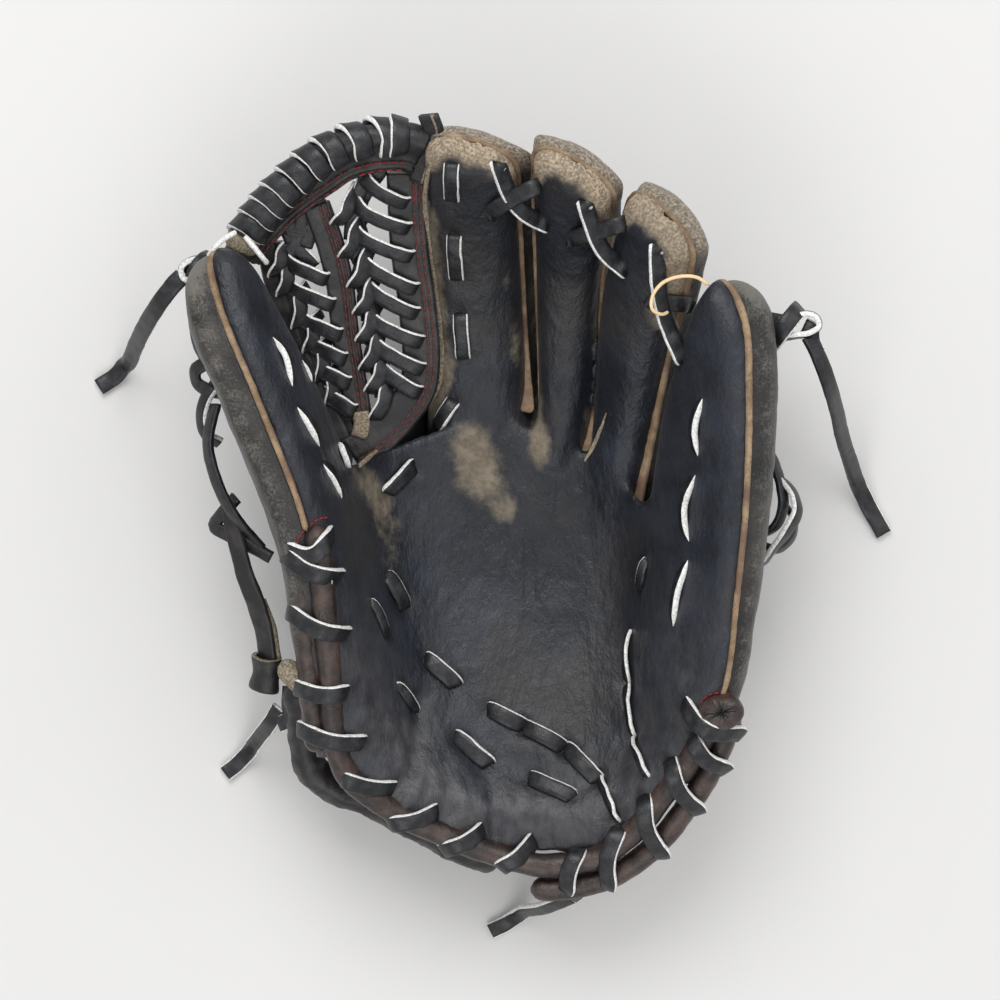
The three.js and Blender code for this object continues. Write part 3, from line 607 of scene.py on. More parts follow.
def web_leather():
    n = Nodes("web_leather")
    tint = n.mix(n.ramp(n.noise(8, 5), 0.4, 0.7), (0.012, 0.0115, 0.013), (0.038, 0.033, 0.032))
    rub_and_sheen = n.ramp(n.noise(1.5, 6, 0.7), 0.6, 0.8)
    colour = n.mix(n.math("MULTIPLY", rub_and_sheen, 0.35), tint, (0.11, 0.10, 0.09))
    grain = n.bump(n.cells(0.8), 0.10, 0.55)
    creases = n.bump(n.noise(3.0, 6, 0.62), 0.5, 0.6, grain)
    return n.finish(colour, 0.42, creases, 0.42)


def raw_edge():
    n = Nodes("raw_edge")
    fibre = n.noise(0.9, 6, 0.7)
    colour = n.mix(n.ramp(fibre, 0.35, 0.65), (0.11, 0.085, 0.06), (0.34, 0.29, 0.21))
    return n.finish(colour, 0.85, n.bump(fibre, 0.3, 0.7), 0.2)


def thread(name, colour):
    n = Nodes(name)
    ply = n.noise(0.6, 3)
    dark = tuple(c * 0.45 for c in colour)
    return n.finish(n.mix(ply, dark, colour), 0.6, n.bump(ply, 0.15, 0.8), 0.35)


def plain(name, low, high, size, rough, depth=0.2, sheen=0.0):
    n = Nodes(name)
    grain = n.noise(size, 6, 0.65)
    return n.finish(n.mix(n.ramp(grain, 0.35, 0.65), low, high), rough, n.bump(grain, depth, 0.7), 0.35, sheen)


PALM = palm_leather()
BACK = back_leather()
LACE = [lace_top(), lace_edge()]
WELT = welt_leather()
BINDING = binding_leather()
WEB = web_leather()
RAW = raw_edge()
RED = thread("red_thread", (0.30, 0.022, 0.022))
RUST = thread("rust_thread", (0.16, 0.035, 0.028))
LINING = plain("lining_leather", (0.16, 0.09, 0.04), (0.30, 0.18, 0.09), 2.0, 0.7)
FELT = plain("felt", (0.42, 0.39, 0.33), (0.62, 0.58, 0.50), 0.6, 0.95, 0.4, 0.3)
FLEECE = plain("fleece", (0.40, 0.38, 0.34), (0.62, 0.60, 0.56), 1.2, 0.95, 0.8, 0.5)
TAG = plain("tag_loop", (0.72, 0.50, 0.27), (0.85, 0.66, 0.42), 1.0, 0.45)
STIFFENER = plain("stiffener", (0.03, 0.03, 0.03), (0.06, 0.06, 0.06), 1.0, 0.6)

# --- Bodies and the fold ------------------------------------------------------------------------


def bend(obj):
    """Bakes the piece's transform into its points; the piece is not bent."""
    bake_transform(obj)
    return obj


def placed(obj, body, slot, *nodes):
    """Says what the piece rides on and the CAD nodes that it stands for; the slot for its finish is not used."""
    if body == "fold":
        bend(obj)
    else:
        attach(obj, body)
    if nodes:
        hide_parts(*nodes)
    return obj


def lay(name, parts, material, body, slot, *nodes):
    """Makes an object from its points and faces and places it."""
    return placed(make(name, *parts, material), body, slot, *nodes)


# --- Camera, floor and light --------------------------------------------------------------------

def stage_scene():
    """Camera, floor, lights and world."""
    camera = bpy.data.objects.new("camera", bpy.data.cameras.new("camera"))
    view_width, distance, middle = 366.0, 1500.0, (5.7, 3.1, 62.0)
    camera.data.sensor_width = 36.0
    camera.data.lens = 36.0 * distance / view_width
    camera.location = Vector(middle) * MM + Vector((0, 0, distance * MM))
    bpy.context.scene.collection.objects.link(camera)
    bpy.context.scene.camera = camera

    floor = make("floor", [(-3000, -3000, -0.4), (3000, -3000, -0.4), (3000, 3000, -0.4), (-3000, 3000, -0.4)],
                 [(0, 1, 2, 3)], plain("floor", (0.655, 0.65, 0.64), (0.665, 0.66, 0.65), 300, 0.7, 0.001))

    def area(name, place, size, power, aim=(0, 0, 40)):
        light = bpy.data.objects.new(name, bpy.data.lights.new(name, "AREA"))
        light.data.shape, light.data.size, light.data.energy = "DISK", size, power
        light.location = Vector(place) * MM
        light.rotation_euler = (Vector(aim) * MM - light.location).to_track_quat("-Z", "Y").to_euler()
        bpy.context.scene.collection.objects.link(light)

    area("key", (-170, 860, 1400), 1.0, 14.5)
    area("fill", (1000, 300, 1500), 1.3, 4.5)
    area("front", (-200, -1100, 1300), 1.0, 6.5)
    world = bpy.data.worlds.new("studio")
    bpy.context.scene.world = world
    world.use_nodes = True
    world.node_tree.nodes["Background"].inputs["Color"].default_value = (0.955, 0.955, 0.965, 1)
    world.node_tree.nodes["Background"].inputs["Strength"].default_value = 0.72
    bpy.context.scene.view_settings.view_transform = "Standard"


stage_scene()

# --- Loose lace ends ----------------------------------------------------------------------------

TAILS = {
    "thumb": dict(route=[(-109, 84, 82), (-113, 80, 81), (-119, 73, 74), (-125, 66, 58), (-130, 60, 38),
                         (-134, 55, 19), (-137, 54, 6), (-141, 50, 1.8), (-147, 46, 1.8)],
                  up=(-0.62, -0.5, 0.6), body="thumb_side", raw=0),
    "pinky": dict(route=[(117, 62, 84), (121, 54, 84), (125, 45, 77), (129, 36, 61), (133, 26, 41), (138, 16, 21),
                         (142, 8, 7), (147, -1, 1.8), (152, -10, 1.8)],
                  up=(0.7, -0.3, 0.6), body="hand_side", raw=-1),
    "heel": dict(route=[(32, -144.5, 40), (27, -147, 36), (21, -150, 27), (15, -152, 15), (12, -155, 5),
                        (8, -158, 1.8), (2, -161, 1.8)],
                 up=(-0.3, -0.9, 0.5), body="hand_side", raw=2),
    "wrist": dict(route=[(-76, -74, 44), (-79, -79, 41), (-83, -84, 30), (-87, -89, 16), (-90, -93, 5),
                         (-94, -97, 1.8), (-99, -101, 1.8)],
                  up=(-0.6, -0.5, 0.6), body="thumb_side", raw=2),
}


def lace_tails():
    """The loose ends that hang from the glove and lie on the floor."""
    for name, tail in TAILS.items():
        laces = Laces()
        ups = [np.array(tail["up"]) * (1 - s * s) + np.array([0, 0, 1]) * s * s for s in np.linspace(0, 1, 9)]
        laces.strip(tail["route"], ups, raw=tail["raw"], bare=1)
        piece = laces.lay(f"loose_lace_{name}", tail["body"], f"lace_tail_{name}")


lace_tails()

# --- Palm leather -------------------------------------------------------------------------------

def finger_sheet(name, start, rows=90, columns=44):
    """The front of one stall, from seam to seam."""
    stall = stalls[name]
    v = (start + (1 - start) * np.sin(np.linspace(0, math.pi / 2, rows)))[:, None] * np.ones((1, columns))
    u = np.linspace(0, 1, columns)[None, :]
    angle = math.pi * u * np.ones_like(v)
    reach = stall.frame(v)[2] * (1.9 * np.clip((v - 0.88) / 0.12, 0, 1))[..., None]
    return sheet_parts(stall.skin(v, angle, 1) + reach, stall.skin(v, angle, 1, LEATHER) + reach)


def palm_sheet(rows=90, columns=140):
    """The palm between the stalls, as a sheet of leather."""
    u = np.linspace(0, 1, columns)[None, :] * np.ones((rows, 1))
    v = np.linspace(0, 1, rows)[:, None] * np.ones((1, columns))
    point, normal = palm_point(u, v), palm_normal(u, v)
    return sheet_parts(point, point - normal * LEATHER)


CROTCHES = [
    [(19.5, 14, 40), (19.8, 22, 39.5), (20, 29, 35), (19.4, 36, 28), (18.8, 44, 24)],
    [(39.6, 0, 41.5), (39.8, 8, 40.5), (40.6, 16, 36), (42, 26, 30), (43, 36, 28)],
    [(56, -18, 43), (57.5, -8, 42.5), (59.4, 0, 41), (61.4, 10, 39), (63, 20, 38)],
]


def crotch_sheet(line, half=6.5):
    """The leather that dips between two stalls where they part."""
    path = resample(line, 1.5)
    across = np.linspace(-1, 1, 13)
    rise = 1.2 * np.abs(across) ** 2
    outer = path[:, None] + np.stack([across * half, 0 * across, rise], 1)[None]
    return sheet_parts(outer, outer - [0, -0.8, LEATHER])


def bumps(points, spots):
    """The sum of soft round swellings, each (x, y, radius across, radius along, turn in degrees, height)."""
    total = np.zeros(len(points))
    for x, y, across, long, turn, height in spots:
        c, s = math.cos(math.radians(turn)), math.sin(math.radians(turn))
        dx, dy = points[:, 0] - x, points[:, 1] - y
        a, b = (dx * c + dy * s) / across, (-dx * s + dy * c) / long
        total += height * np.exp(-(a * a + b * b) / 2)
    return total


def near_line(points, line, reach):
    """1 on a polyline seen from above, falling to 0 a few reaches away."""
    path = resample([(x, y, 0) for x, y in line], 2.0)
    best = np.full(len(points), 1e9)
    for p in path:
        best = np.minimum(best, (points[:, 0] - p[0]) ** 2 + (points[:, 1] - p[1]) ** 2)
    return np.exp(-best / (2 * reach * reach))


FOLDS = [
    [(44, 8), (52, 14), (60, 26)], [(40, 3), (50, 6), (60, 14)], [(36, -3), (46, -2), (56, 3)],
    [(26, 44), (33, 54), (35, 66)], [(30, 40), (37, 50), (38, 62)], [(-6, 0), (-2, -18), (0, -34)],
    [(6, -6), (9, -22), (10, -40)], [(16, -2), (17, -18), (18, -34)], [(-38, -104), (-35, -90), (-33, -78)],
    [(-28, -106), (-26, -94), (-24, -84)], [(12, -126), (13, -116), (12, -108)],
    [(30, -128), (29, -118), (27, -110)], [(56, -96), (50, -88), (46, -76)], [(62, -80), (57, -70), (54, -58)],
    [(-46, -40), (-40, -28), (-36, -14)],
]


def palm_piece():
    """The palm and the fronts of all the stalls: one skin with pads, folds, wrinkles and wear, with a painted sheen on
    the pads and painted shade round the lace holes.
    """
    parts = [palm_sheet()]
    parts += [finger_sheet(name, 0) for name in ("index", "middle", "ring")]
    parts += [finger_sheet("thumb", 0.12), finger_sheet("pinky", 0.12)]
    parts += [crotch_sheet(line) for line in CROTCHES]
    points, faces = join_parts(parts)
    obj = make("palm_leather", points, faces.tolist(), PALM)
    remeshed(obj, 1.15, 7)
    p, _ = read(obj)
    group = obj.vertex_groups.new(name="parting")
    for line, reach in zip(CROTCHES, (7, 9, 11)):
        d = np.min([np.linalg.norm((p - q) * [1, 1, 0.5], axis=1) for q in resample(line, 2.0)], axis=0)
        for i in np.nonzero(d < 2 * reach)[0]:
            group.add([int(i)], float(np.clip(2 - d[i] / reach, 0, 1)), "ADD")
    m = obj.modifiers.new("ease", "SMOOTH")
    m.factor, m.iterations, m.vertex_group = 0.6, 34, "parting"
    baked(obj)
    holes = hole_places(Surface(obj))
    p, n = read(obj)
    facing = np.clip(n[:, 2] * 1.5 + 0.3, 0, 1)
    swell = bumps(p, [
        (-40, -72, 10, 22, 10, 4.0), (-14, -104, 14, 8, -25, 4.0), (24, -112, 18, 7, -5, 4.5),
        (58, -98, 9, 12, -40, 3.0), (68, -58, 8, 26, 5, 3.0), (26, -92, 16, 5, -30, 1.6),
    ])
    valley = -1.8 * near_line(p, [(-36, -108), (-27, -92), (-24, -70)], 2.6)
    valley += -1.5 * near_line(p, [(4, -120), (0, -100), (-8, -86)], 2.4)
    valley += -1.3 * near_line(p, [(44, -122), (50, -104), (53, -80), (52, -52)], 2.6)
    wrinkle = (0.22 * noise(p * [1, 0.45, 1], 4.0, 3) + 0.85 * noise(p * [1, 0.6, 1], 17.0, 4)
               + 0.10 * noise(p * [1, 0.6, 1], 1.9, 5))
    for lines in FOLDS:
        broken = 0.45 + 0.4 * noise(p, 7.0, 8)
        wrinkle = (wrinkle - 0.55 * broken * near_line(p, lines, 1.5)
                   + 0.35 * broken * near_line(p, [(x + 2.8, y + 0.8) for x, y in lines], 2.0))
    heel = near_line(p, [(x, y) for x, y, _ in HEEL_LEFT + HEEL_RIGHT[:4]], 12)
    radial = 0.55 * heel * np.sin(np.arctan2(p[:, 1] + 40, p[:, 0] - 10) * 46 + 3 * noise(p, 16, 6))
    drawn = np.zeros(len(p))
    for hole in holes:
        d2 = ((p - hole) ** 2).sum(1)
        drawn -= 1.1 * np.exp(-d2 / (2 * 2.6**2))
    write(obj, p + n * ((swell + valley + wrinkle + radial) * facing + drawn)[:, None])

    wear = bumps(p, [
        (-2, 14, 8, 10, 20, 0.95), (20.5, 23, 3.6, 6.5, 0, 0.95), (8, -1, 4, 4.5, -25, 0.6),
        (-8, 27, 5, 4, 0, 0.35), (-40, 6, 5, 12, 35, 0.75), (12, 61, 3, 9, 0, 0.55), (-34, -20, 4, 12, 15, 0.5),
        (20, 40, 2, 8, 0, 0.5), (38, 32, 3, 8, 10, 0.5), (-4, 40, 16, 12, 0, 0.22), (8, 84, 3, 10, 0, 0.45),
    ])
    wear += 0.75 * near_line(p, [(-20, 106), (-18, 84), (-16, 64), (-15, 48), (-22, 34)], 3.2)
    pale = np.zeros(len(p))
    for name, begin, reach in (("index", 0.86, 10), ("middle", 0.80, 10), ("ring", 0.66, 12)):
        stall = stalls[name]
        v = np.concatenate([np.linspace(begin, 1, 14), np.linspace(0.99, 0.93, 5)])
        side = np.where(np.arange(19) < 14, 1, -1)
        c, w, _, _ = stall.frame(v)
        line = c + w * (side * stall.taper(v) * 0.93)[:, None]
        d = np.min([np.linalg.norm((p - q) * [1, 1, 0.8], axis=1) for q in line], axis=0)
        near = np.exp(-(d / reach) ** 3) * (p[:, 2] > line[:, 2].min() - 2)
        wear += 1.1 * near
        pale += (0.75 if name == "ring" else 1.0) * near
    tip = stalls["thumb"].centre(0.93)
    wear += 0.5 * np.exp(-(np.linalg.norm(p - tip, axis=1) / 11) ** 2)
    # Painted sheen on the heel pads and the fronts of the thumb and little-finger rolls, which the palm's material
    # shows as a lighter grey.
    rub_and_sheen = bumps(p, [(-34, -88, 11, 14, 30, 0.9), (-16, -106, 14, 8, -20, 1.0), (24, -112, 18, 8, -5, 1.0),
                    (58, -100, 9, 12, -40, 0.9), (72, -60, 6, 26, 5, 0.5), (-44, -55, 7, 20, 5, 0.5)])
    paint(obj, "pale", np.clip(pale, 0, 1))
    paint(obj, "rub_and_sheen", np.clip(rub_and_sheen, 0, 1))
    scuff = 0.30 * near_line(p, [(x, y) for x, y, _ in STALLS["pinky"]["outer"]], 10)
    scuff += 0.28 * near_line(p, [(x, y) for x, y, _ in STALLS["thumb"]["outer"]], 9)
    scuff += 0.25 * near_line(p, [(-20, 106), (-16, 64), (-22, 34)], 8)
    paint(obj, "wear", wear)
    paint(obj, "scuff", scuff)
    # Painted shade in the dimples drawn in round the lace holes.
    paint(obj, "dark", np.clip(-drawn, 0, 1) * 0.7)
    placed(obj, "fold", "shell_leather", "palm_shell", "thumb_shell")
    return obj


# --- Backs of the stalls ------------------------------------------------------------------------

def back_piece(name, body):
    """The back of one stall, fuller beside its seams."""
    stall = stalls[name]
    rows, columns = 150, 56
    v = np.sin(np.linspace(0, math.pi / 2, rows))[:, None] * np.ones((1, columns))
    u = np.linspace(0, 1, columns)[None, :]
    first = stall.seam_angle(v, -1)
    angle = first + (math.pi - 2 * first) * u
    outer = stall.skin(v, angle, -1)
    wide = np.exp(-((np.minimum(u, 1 - u) - 0.16) / 0.11) ** 2) * (0.35 + 0.65 * stall.taper(v))
    if name == "thumb":
        swell = np.where(u < 0.5, np.interp(v, [0, 0.1, 0.2, 0.75, 0.95], [0.5, 2.0, 4.6, 4.2, 1.5]), 1.0)
    else:
        left, right = {"index": (1.0, 8.0), "middle": (4.2, 4.0), "ring": (3.0, 3.2), "pinky": (1.0, 1.0)}[name]
        swell = np.where(u < 0.5, right, left)
    outer = outer + unit(stall.frame(v)[1]) * (np.sign(0.5 - u) * wide * swell)[..., None]
    flat = outer.reshape(-1, 3)
    c = stall.centre(v)
    lumps = 0.6 * noise(flat, 14.0, 11) + 0.22 * noise(flat, 4.0, 12) + 0.10 * noise(flat, 1.8, 13)
    outward = unit(outer - c).reshape(-1, 3)
    outer = (flat + outward * lumps[:, None]).reshape(outer.shape)
    points, faces = sheet_parts(outer, stall.skin(v, angle, -1, LEATHER))
    obj = make(f"{name}_back_leather", points, faces.tolist(), BACK)
    near_seam = np.exp(-np.minimum(u, 1 - u) * np.ones_like(v) / 0.02)
    tip = np.clip((v - 0.8) / 0.15, 0, 1) * np.ones_like(u)
    wear = 0.35 + 0.35 * tip + 0.25 * np.exp(-((u - 0.12) / 0.12) ** 2)
    paint(obj, "wear", np.tile(np.clip(wear, 0, 1).ravel(), 2))
    pale = ({"index": 1.0, "middle": 1.0, "ring": 0.75, "pinky": 0.25, "thumb": 0.3}[name]
            * np.clip((v - 0.84) / 0.1, 0, 1) * np.ones_like(u))
    paint(obj, "pale", np.tile(pale.ravel(), 2))
    # Painted shade along both seams, where the back meets the welt.
    paint(obj, "dark", np.tile((0.5 * near_seam).ravel(), 2))
    return placed(obj, body, "shell_leather", f"{name}_back")


# --- Welts --------------------------------------------------------------------------------------

WELT_SECTION = [(-3.6, -0.9), (0.1, -1.0), (1.0, -0.98), (1.45, -0.7), (1.55, 0), (1.45, 0.7), (1.0, 0.98),
                (0.1, 1.0), (-3.6, 0.9)]


def welt_line(name, start, back_to, rise=(0, 0), count=70):
    """The welt's line: up the outer seam, round the tip and down the inner seam, with its outward and front."""
    stall = stalls[name]
    last = 0.9995
    up_v = start + (last - start) * np.sin(np.linspace(0, math.pi / 2, count))
    down_v = last + (back_to - last) * (1 - np.cos(np.linspace(0, math.pi / 2, count)))
    v = np.concatenate([up_v, down_v[1:]])
    side = np.concatenate([np.ones(count), -np.ones(count - 1)])
    c, w, _, n = stall.frame(v)
    path = c + w * (side * stall.taper(v))[:, None]
    low = np.where(side > 0, rise[0] * np.clip(1 - (v - start) / 0.24, 0, 1) ** 2,
                   rise[1] * np.clip(1 - (v - back_to) / 0.24, 0, 1) ** 2)
    path[:, 2] += low
    keep = np.concatenate([[True], np.linalg.norm(np.diff(path, axis=0), axis=1) > 0.25])
    return path[keep], n[keep]


def welt_piece(name, start, back_to, body, rise=(0, 0)):
    """The welt in a stall's seam; rise lifts its two feet over the palm."""
    path, n = welt_line(name, start, back_to, rise)
    path = resample(path[::2], 1.2)
    stall = stalls[name]
    samples = np.linspace(0, 1, 200)
    c, _, _, normal = stall.frame(samples)
    nearest = ((path[:, None] - c[None]) ** 2).sum(2).argmin(1)
    tangent = tangents(path)
    n = normal[nearest]
    outward = unit(np.cross(tangent, n))
    away = path - c[np.clip(nearest - 8, 0, 199)]
    outward *= np.sign((outward * away).sum(1).mean() or 1)
    section = np.array(WELT_SECTION)
    ends = np.minimum(np.arange(len(path)), np.arange(len(path))[::-1]) * 1.2
    scale = np.sqrt(np.clip(1 - (1 - np.minimum(ends / 2.4, 1)) ** 2, 0.04, 1))[:, None, None]
    rings = path[:, None] + outward[:, None] * section[:, :1] * scale + n[:, None] * section[:, 1:] * scale
    points, faces = sweep_parts(rings)
    obj = make(f"{name}_seam_welt", jitter(points, 0.12, 2.0, 21), faces, WELT)
    return placed(obj, body, "welt_leather", f"{name}_welt")


# --- Bindings -----------------------------------------------------------------------------------

TUBE_SIDES = 20


def tube_parts(route, radius, sides=TUBE_SIDES, step=1.4, flatten=1.0, seed=31, lumps=0.25):
    """A slightly uneven tube with rounded ends."""
    path = resample(route, step)
    angle = np.linspace(0, 2 * math.pi, sides, endpoint=False)
    section = np.stack([np.cos(angle) * radius, np.sin(angle) * radius * flatten], 1)
    ends = np.minimum(np.arange(len(path)), np.arange(len(path))[::-1]) * step
    taper = np.sqrt(np.clip(1 - (1 - np.minimum(ends / radius, 1)) ** 2, 0.05, 1))
    rings = ring_sweep(path, along((0, 0, 1), len(path)), section[None] * taper[:, None, None])
    flat = rings.reshape(-1, 3)
    centre = np.repeat(path, sides, 0)
    flat = flat + unit(flat - centre) * (lumps * (noise(flat, 5.0, seed) + 0.6 * noise(flat, 2.0, seed + 1)))[:, None]
    return sweep_parts(flat.reshape(rings.shape))


def binding_piece(name, route, body, nodes, radius=4.4, seam=0.6):
    """A rolled binding with a line of painted shade along its seam, in place of a groove."""
    points, faces = tube_parts(route, radius, seed=31 + len(name))
    obj = make(name, points, faces, BINDING)
    angle = np.linspace(0, 2 * math.pi, TUBE_SIDES, endpoint=False)
    # Painted shade: a dark line along the tube at the seam, where the roll turns under.
    groove_shade = np.exp(-((np.angle(np.exp(1j * (angle - seam)))) / 0.16) ** 2)
    paint(obj, "dark", np.tile(groove_shade, len(points) // TUBE_SIDES))
    return placed(obj, body, "binding_leather", *nodes)


# --- Placing on surfaces ------------------------------------------------------------------------

class Surface:
    """Finds the top of some pieces, seen from straight above, in millimetres."""

    def __init__(self, *objects):
        points, faces, start = [], [], 0
        for obj in objects:
            p, _ = read(obj)
            points += [Vector(v) for v in p]
            faces += [tuple(i + start for i in f.vertices) for f in obj.data.polygons]
            start += len(p)
        self.tree = BVHTree.FromPolygons(points, faces)

    def hit(self, x, y):
        place, normal, _, _ = self.tree.ray_cast(Vector((x, y, 200.0)), Vector((0, 0, -1)))
        return (np.array(place), np.array(normal)) if place else (None, None)


def tack(laces, surface, a, b, raw=1, lift=1.1, width=LACE_WIDTH, tilt=0.0, steps=7, hump=0.6, thick=LACE_THICK):
    """A flat stitch of lace on a surface, from one hole to another."""
    route, ups = [], []
    for s in np.linspace(0, 1, steps):
        x, y = a[0] + (b[0] - a[0]) * s, a[1] + (b[1] - a[1]) * s
        place, normal = surface.hit(x, y)
        if place is None:
            continue
        route.append(place + normal * (lift + hump * math.sin(math.pi * s)))
        ups.append(normal)
    if len(route) < 3:
        return
    along_way = unit(route[-1] - route[0])
    first = route[0] - ups[0] * 3.6 + along_way * 0.9
    last = route[-1] - ups[-1] * 3.6 - along_way * 0.9
    laces.strip([first, route[0] - ups[0] * 0.6, *route[1:-1], route[-1] - ups[-1] * 0.6, last],
                [ups[0] - along_way * 1.2, ups[0] - along_way * 0.3, *ups[1:-1], ups[-1] + along_way * 0.3,
                 ups[-1] + along_way * 1.2],
                width=width, raw=raw, tilt=tilt, thick=thick)


def edge_arc(surface, line, lift, hump, count=9):
    """A smooth route through three places, close over a surface that may be steep or missing there."""
    heights = [surface.hit(x, y)[0] for x, y in line]
    known = [p[2] for p in heights if p is not None]
    base = float(np.median(known)) if known else 74.0
    heights = [p[2] if p is not None and abs(p[2] - base) < 9 else base for p in heights]
    first, middle, last = (np.array([x, y, h]) for (x, y), h in zip(line, heights))
    t = np.linspace(0, 1, count)[:, None]
    points = first * (1 - t) ** 2 + (4 * middle - first - last) * t * (1 - t) + last * t**2
    rise = lift + hump * (np.sin(np.linspace(0, math.pi, count)) - 0.35) * 2.2
    return list(points + np.stack([0 * rise, 0 * rise, rise], 1))


def taut(laces, surface, a, b, raw=1, lift=1.1, under=(9.0, 16.0), tilt=0.0, sink=4.0, width=LACE_WIDTH, sag=0.0):
    """A band of lace pulled tight over a roll, from a hole at a to the outer side at b, and round below."""
    count = 22
    distance = math.hypot(b[0] - a[0], b[1] - a[1])
    way = np.array([(b[0] - a[0]) / distance, (b[1] - a[1]) / distance, 0.0])
    profile = []
    for i in range(count):
        s = distance * i / (count - 1)
        place, _ = surface.hit(a[0] + way[0] * s, a[1] + way[1] * s)
        if place is not None:
            profile.append((s, place[2]))
    hull = []
    for point in profile:
        while len(hull) > 1 and ((hull[-1][0] - hull[-2][0]) * (point[1] - hull[-2][1])
                                 >= (hull[-1][1] - hull[-2][1]) * (point[0] - hull[-2][0])):
            hull.pop()
        hull.append(point)
    reach = np.linspace(0, hull[-1][0] - 0.5, 9)
    heights = np.interp(reach, [h[0] for h in hull], [h[1] for h in hull]) + lift
    start = np.array([a[0], a[1], 0.0])
    aside = np.cross(way, (0, 0, 1)) * -sag
    route = [start + way * s + aside * math.sin(math.pi * s / reach[-1]) + [0, 0, z] for s, z in zip(reach, heights)]
    end_z = heights[-1]
    route[0] = route[0] - [0, 0, lift + 0.4]
    route = [route[0] - [0, 0, sink] + way * 0.8] + route
    out = start + way * (hull[-1][0] + 1.2)
    route += [out + [0, 0, end_z - 3.2], out - way * 1.2 + [0, 0, end_z - under[0]],
              out - way * 6 + [0, 0, end_z - under[1]]]
    laces.strip(route, raw=raw, side=np.cross(way, (0, 0, 1)), tilt=tilt, width=width)


def stitches(route, ups, pitch=3.4, long=2.5, wide=0.85, tall=0.45, offset=0.0, lift=0.0):
    """Points and faces of a row of thread stitches along a route."""
    path = resample(route, pitch)
    ups = along(ups, len(path))
    tangent = tangents(path)
    across = unit(np.cross(tangent, ups))
    up = unit(np.cross(across, tangent))
    profile = np.array([(-0.5, 0.25), (-0.34, 0.9), (0, 1.0), (0.34, 0.9), (0.5, 0.25)])
    around = np.linspace(0, 2 * math.pi, 6, endpoint=False)
    parts = []
    for i in range(len(path) - 1):
        middle = (path[i] + path[i + 1]) / 2 + across[i] * offset + up[i] * lift
        rings = np.stack([
            middle + tangent[i] * (x * long)
            + (across[i] * np.cos(around)[:, None] * wide / 2 + up[i] * np.sin(around)[:, None] * tall) * r
            for x, r in profile
        ])
        parts.append(sweep_parts(rings))
    return parts


def gather(name, parts, material):
    """One object from several meshes."""
    points, faces, start = [], [], 0
    for p, f in parts:
        points.append(p)
        faces += [tuple(int(i) + start for i in face) for face in f]
        start += len(p)
    return make(name, np.concatenate(points), faces, material)


def panel_parts(route, ups, left, right, thick, dents=(), step=1.3, seed=41, lumps=0.18, across=22):
    """A strip of leather from -left to +right of its route, with dents (place, depth, half width) along it."""
    path = resample(route, step)
    ups = along(ups, len(path))
    xs = np.linspace(-left, right, across)
    edge = np.minimum(xs + left, right - xs)
    half = thick / 2 * np.sqrt(np.clip(1 - (1 - np.minimum(edge / 1.1, 1)) ** 2, 0.02, 1))
    top = half.copy()
    for place, depth, spread in dents:
        top = top - depth * np.exp(-((xs - place) / spread) ** 2)
    section = np.concatenate([np.stack([xs[::-1], top[::-1]], 1), np.stack([xs, -half], 1)])
    rings = ring_sweep(path, ups, section)
    flat = rings.reshape(-1, 3)
    up = np.repeat(unit(ups), section.shape[0], 0)
    flat = flat + up * (lumps * (noise(flat, 6.0, seed) + 0.5 * noise(flat, 2.2, seed + 1)))[:, None]
    return sweep_parts(flat.reshape(rings.shape))


# --- Web ----------------------------------------------------------------------------------------

def web_up(y):
    return unit(np.array([0.0, -0.0056 * (y - 5), 1.0]))


def web_line(points, lift=0.0):
    return [np.array([x, y, web_height(y)]) + web_up(y) * lift for x, y in points]


def web_ups(points):
    return [web_up(p[1]) for p in points]


CROWN = [(-90, 93.5), (-85.5, 101.5), (-80, 108.5), (-73.5, 115.5), (-65, 123), (-56.5, 129), (-46, 133),
         (-36.3, 134.5), (-26, 134.3), (-20.5, 132.5)]
INDEX_SEAM = [(-24.5, 121), (-23.7, 97), (-20.8, 74), (-19.5, 54), (-21.2, 43), (-28.2, 32.6), (-38.5, 22.2),
              (-47, 16.5)]
POST_SEAM = [(-58.7, 110.5), (-53.9, 96.4), (-50.7, 82.3), (-49.0, 65), (-45.6, 42), (-44.5, 33)]
THUMB_STRIP = [(-78, 96), (-76, 84), (-71.5, 70), (-67, 58), (-60, 43), (-53, 30), (-50, 22)]
TOP_LACES = [
    ([(-66, 108.5), (-67.5, 100), (-72, 91)], 1), ([(-60, 112), (-62, 104), (-65.4, 95)], 1),
    ([(-57, 108), (-64, 101), (-73, 97.5)], 0), ([(-71, 104), (-69, 96), (-62, 88)], -1),
    ([(-44, 124), (-43.4, 118), (-46.8, 111)], 1), ([(-36, 128), (-38, 121), (-42, 116)], 1),
]
RUNGS = [((-41, 117.5), (-28.2, 111.5)), ((-44.5, 109.0), (-27.8, 102.6)), ((-45.0, 99.6), (-27.0, 92.6)),
         ((-43.0, 89.6), (-25.4, 81.0)), ((-41.4, 80.4), (-25.2, 72.2)), ((-40.2, 69.0), (-23.6, 61.8)),
         ((-39.2, 60.0), (-23.2, 51.8)), ((-36.4, 50.6), (-24.4, 43.2))]
LEAVES = [((-48.5, 112.0), (-53.0, 105.0)), ((-46.5, 101.5), (-50.4, 93.4)), ((-43.0, 92.2), (-47.4, 82.6)),
          ((-41.2, 81.6), (-45.4, 73.0)), ((-40.6, 72.2), (-44.6, 63.0)), ((-38.8, 63.0), (-43.4, 52.6)),
          ((-37.4, 54.0), (-41.4, 44.6)), ((-36.0, 44.4), (-39.8, 34.4))]
THUMB_RUNGS = [((-70.2, 89.4), (-57.6, 84.6)), ((-69.0, 80.2), (-55.4, 75.4)), ((-65.4, 69.0), (-53.0, 64.4)),
               ((-61.8, 59.6), (-51.4, 55.4)), ((-59.6, 50.8), (-50.0, 46.6)), ((-56.8, 41.2), (-48.0, 36.4))]
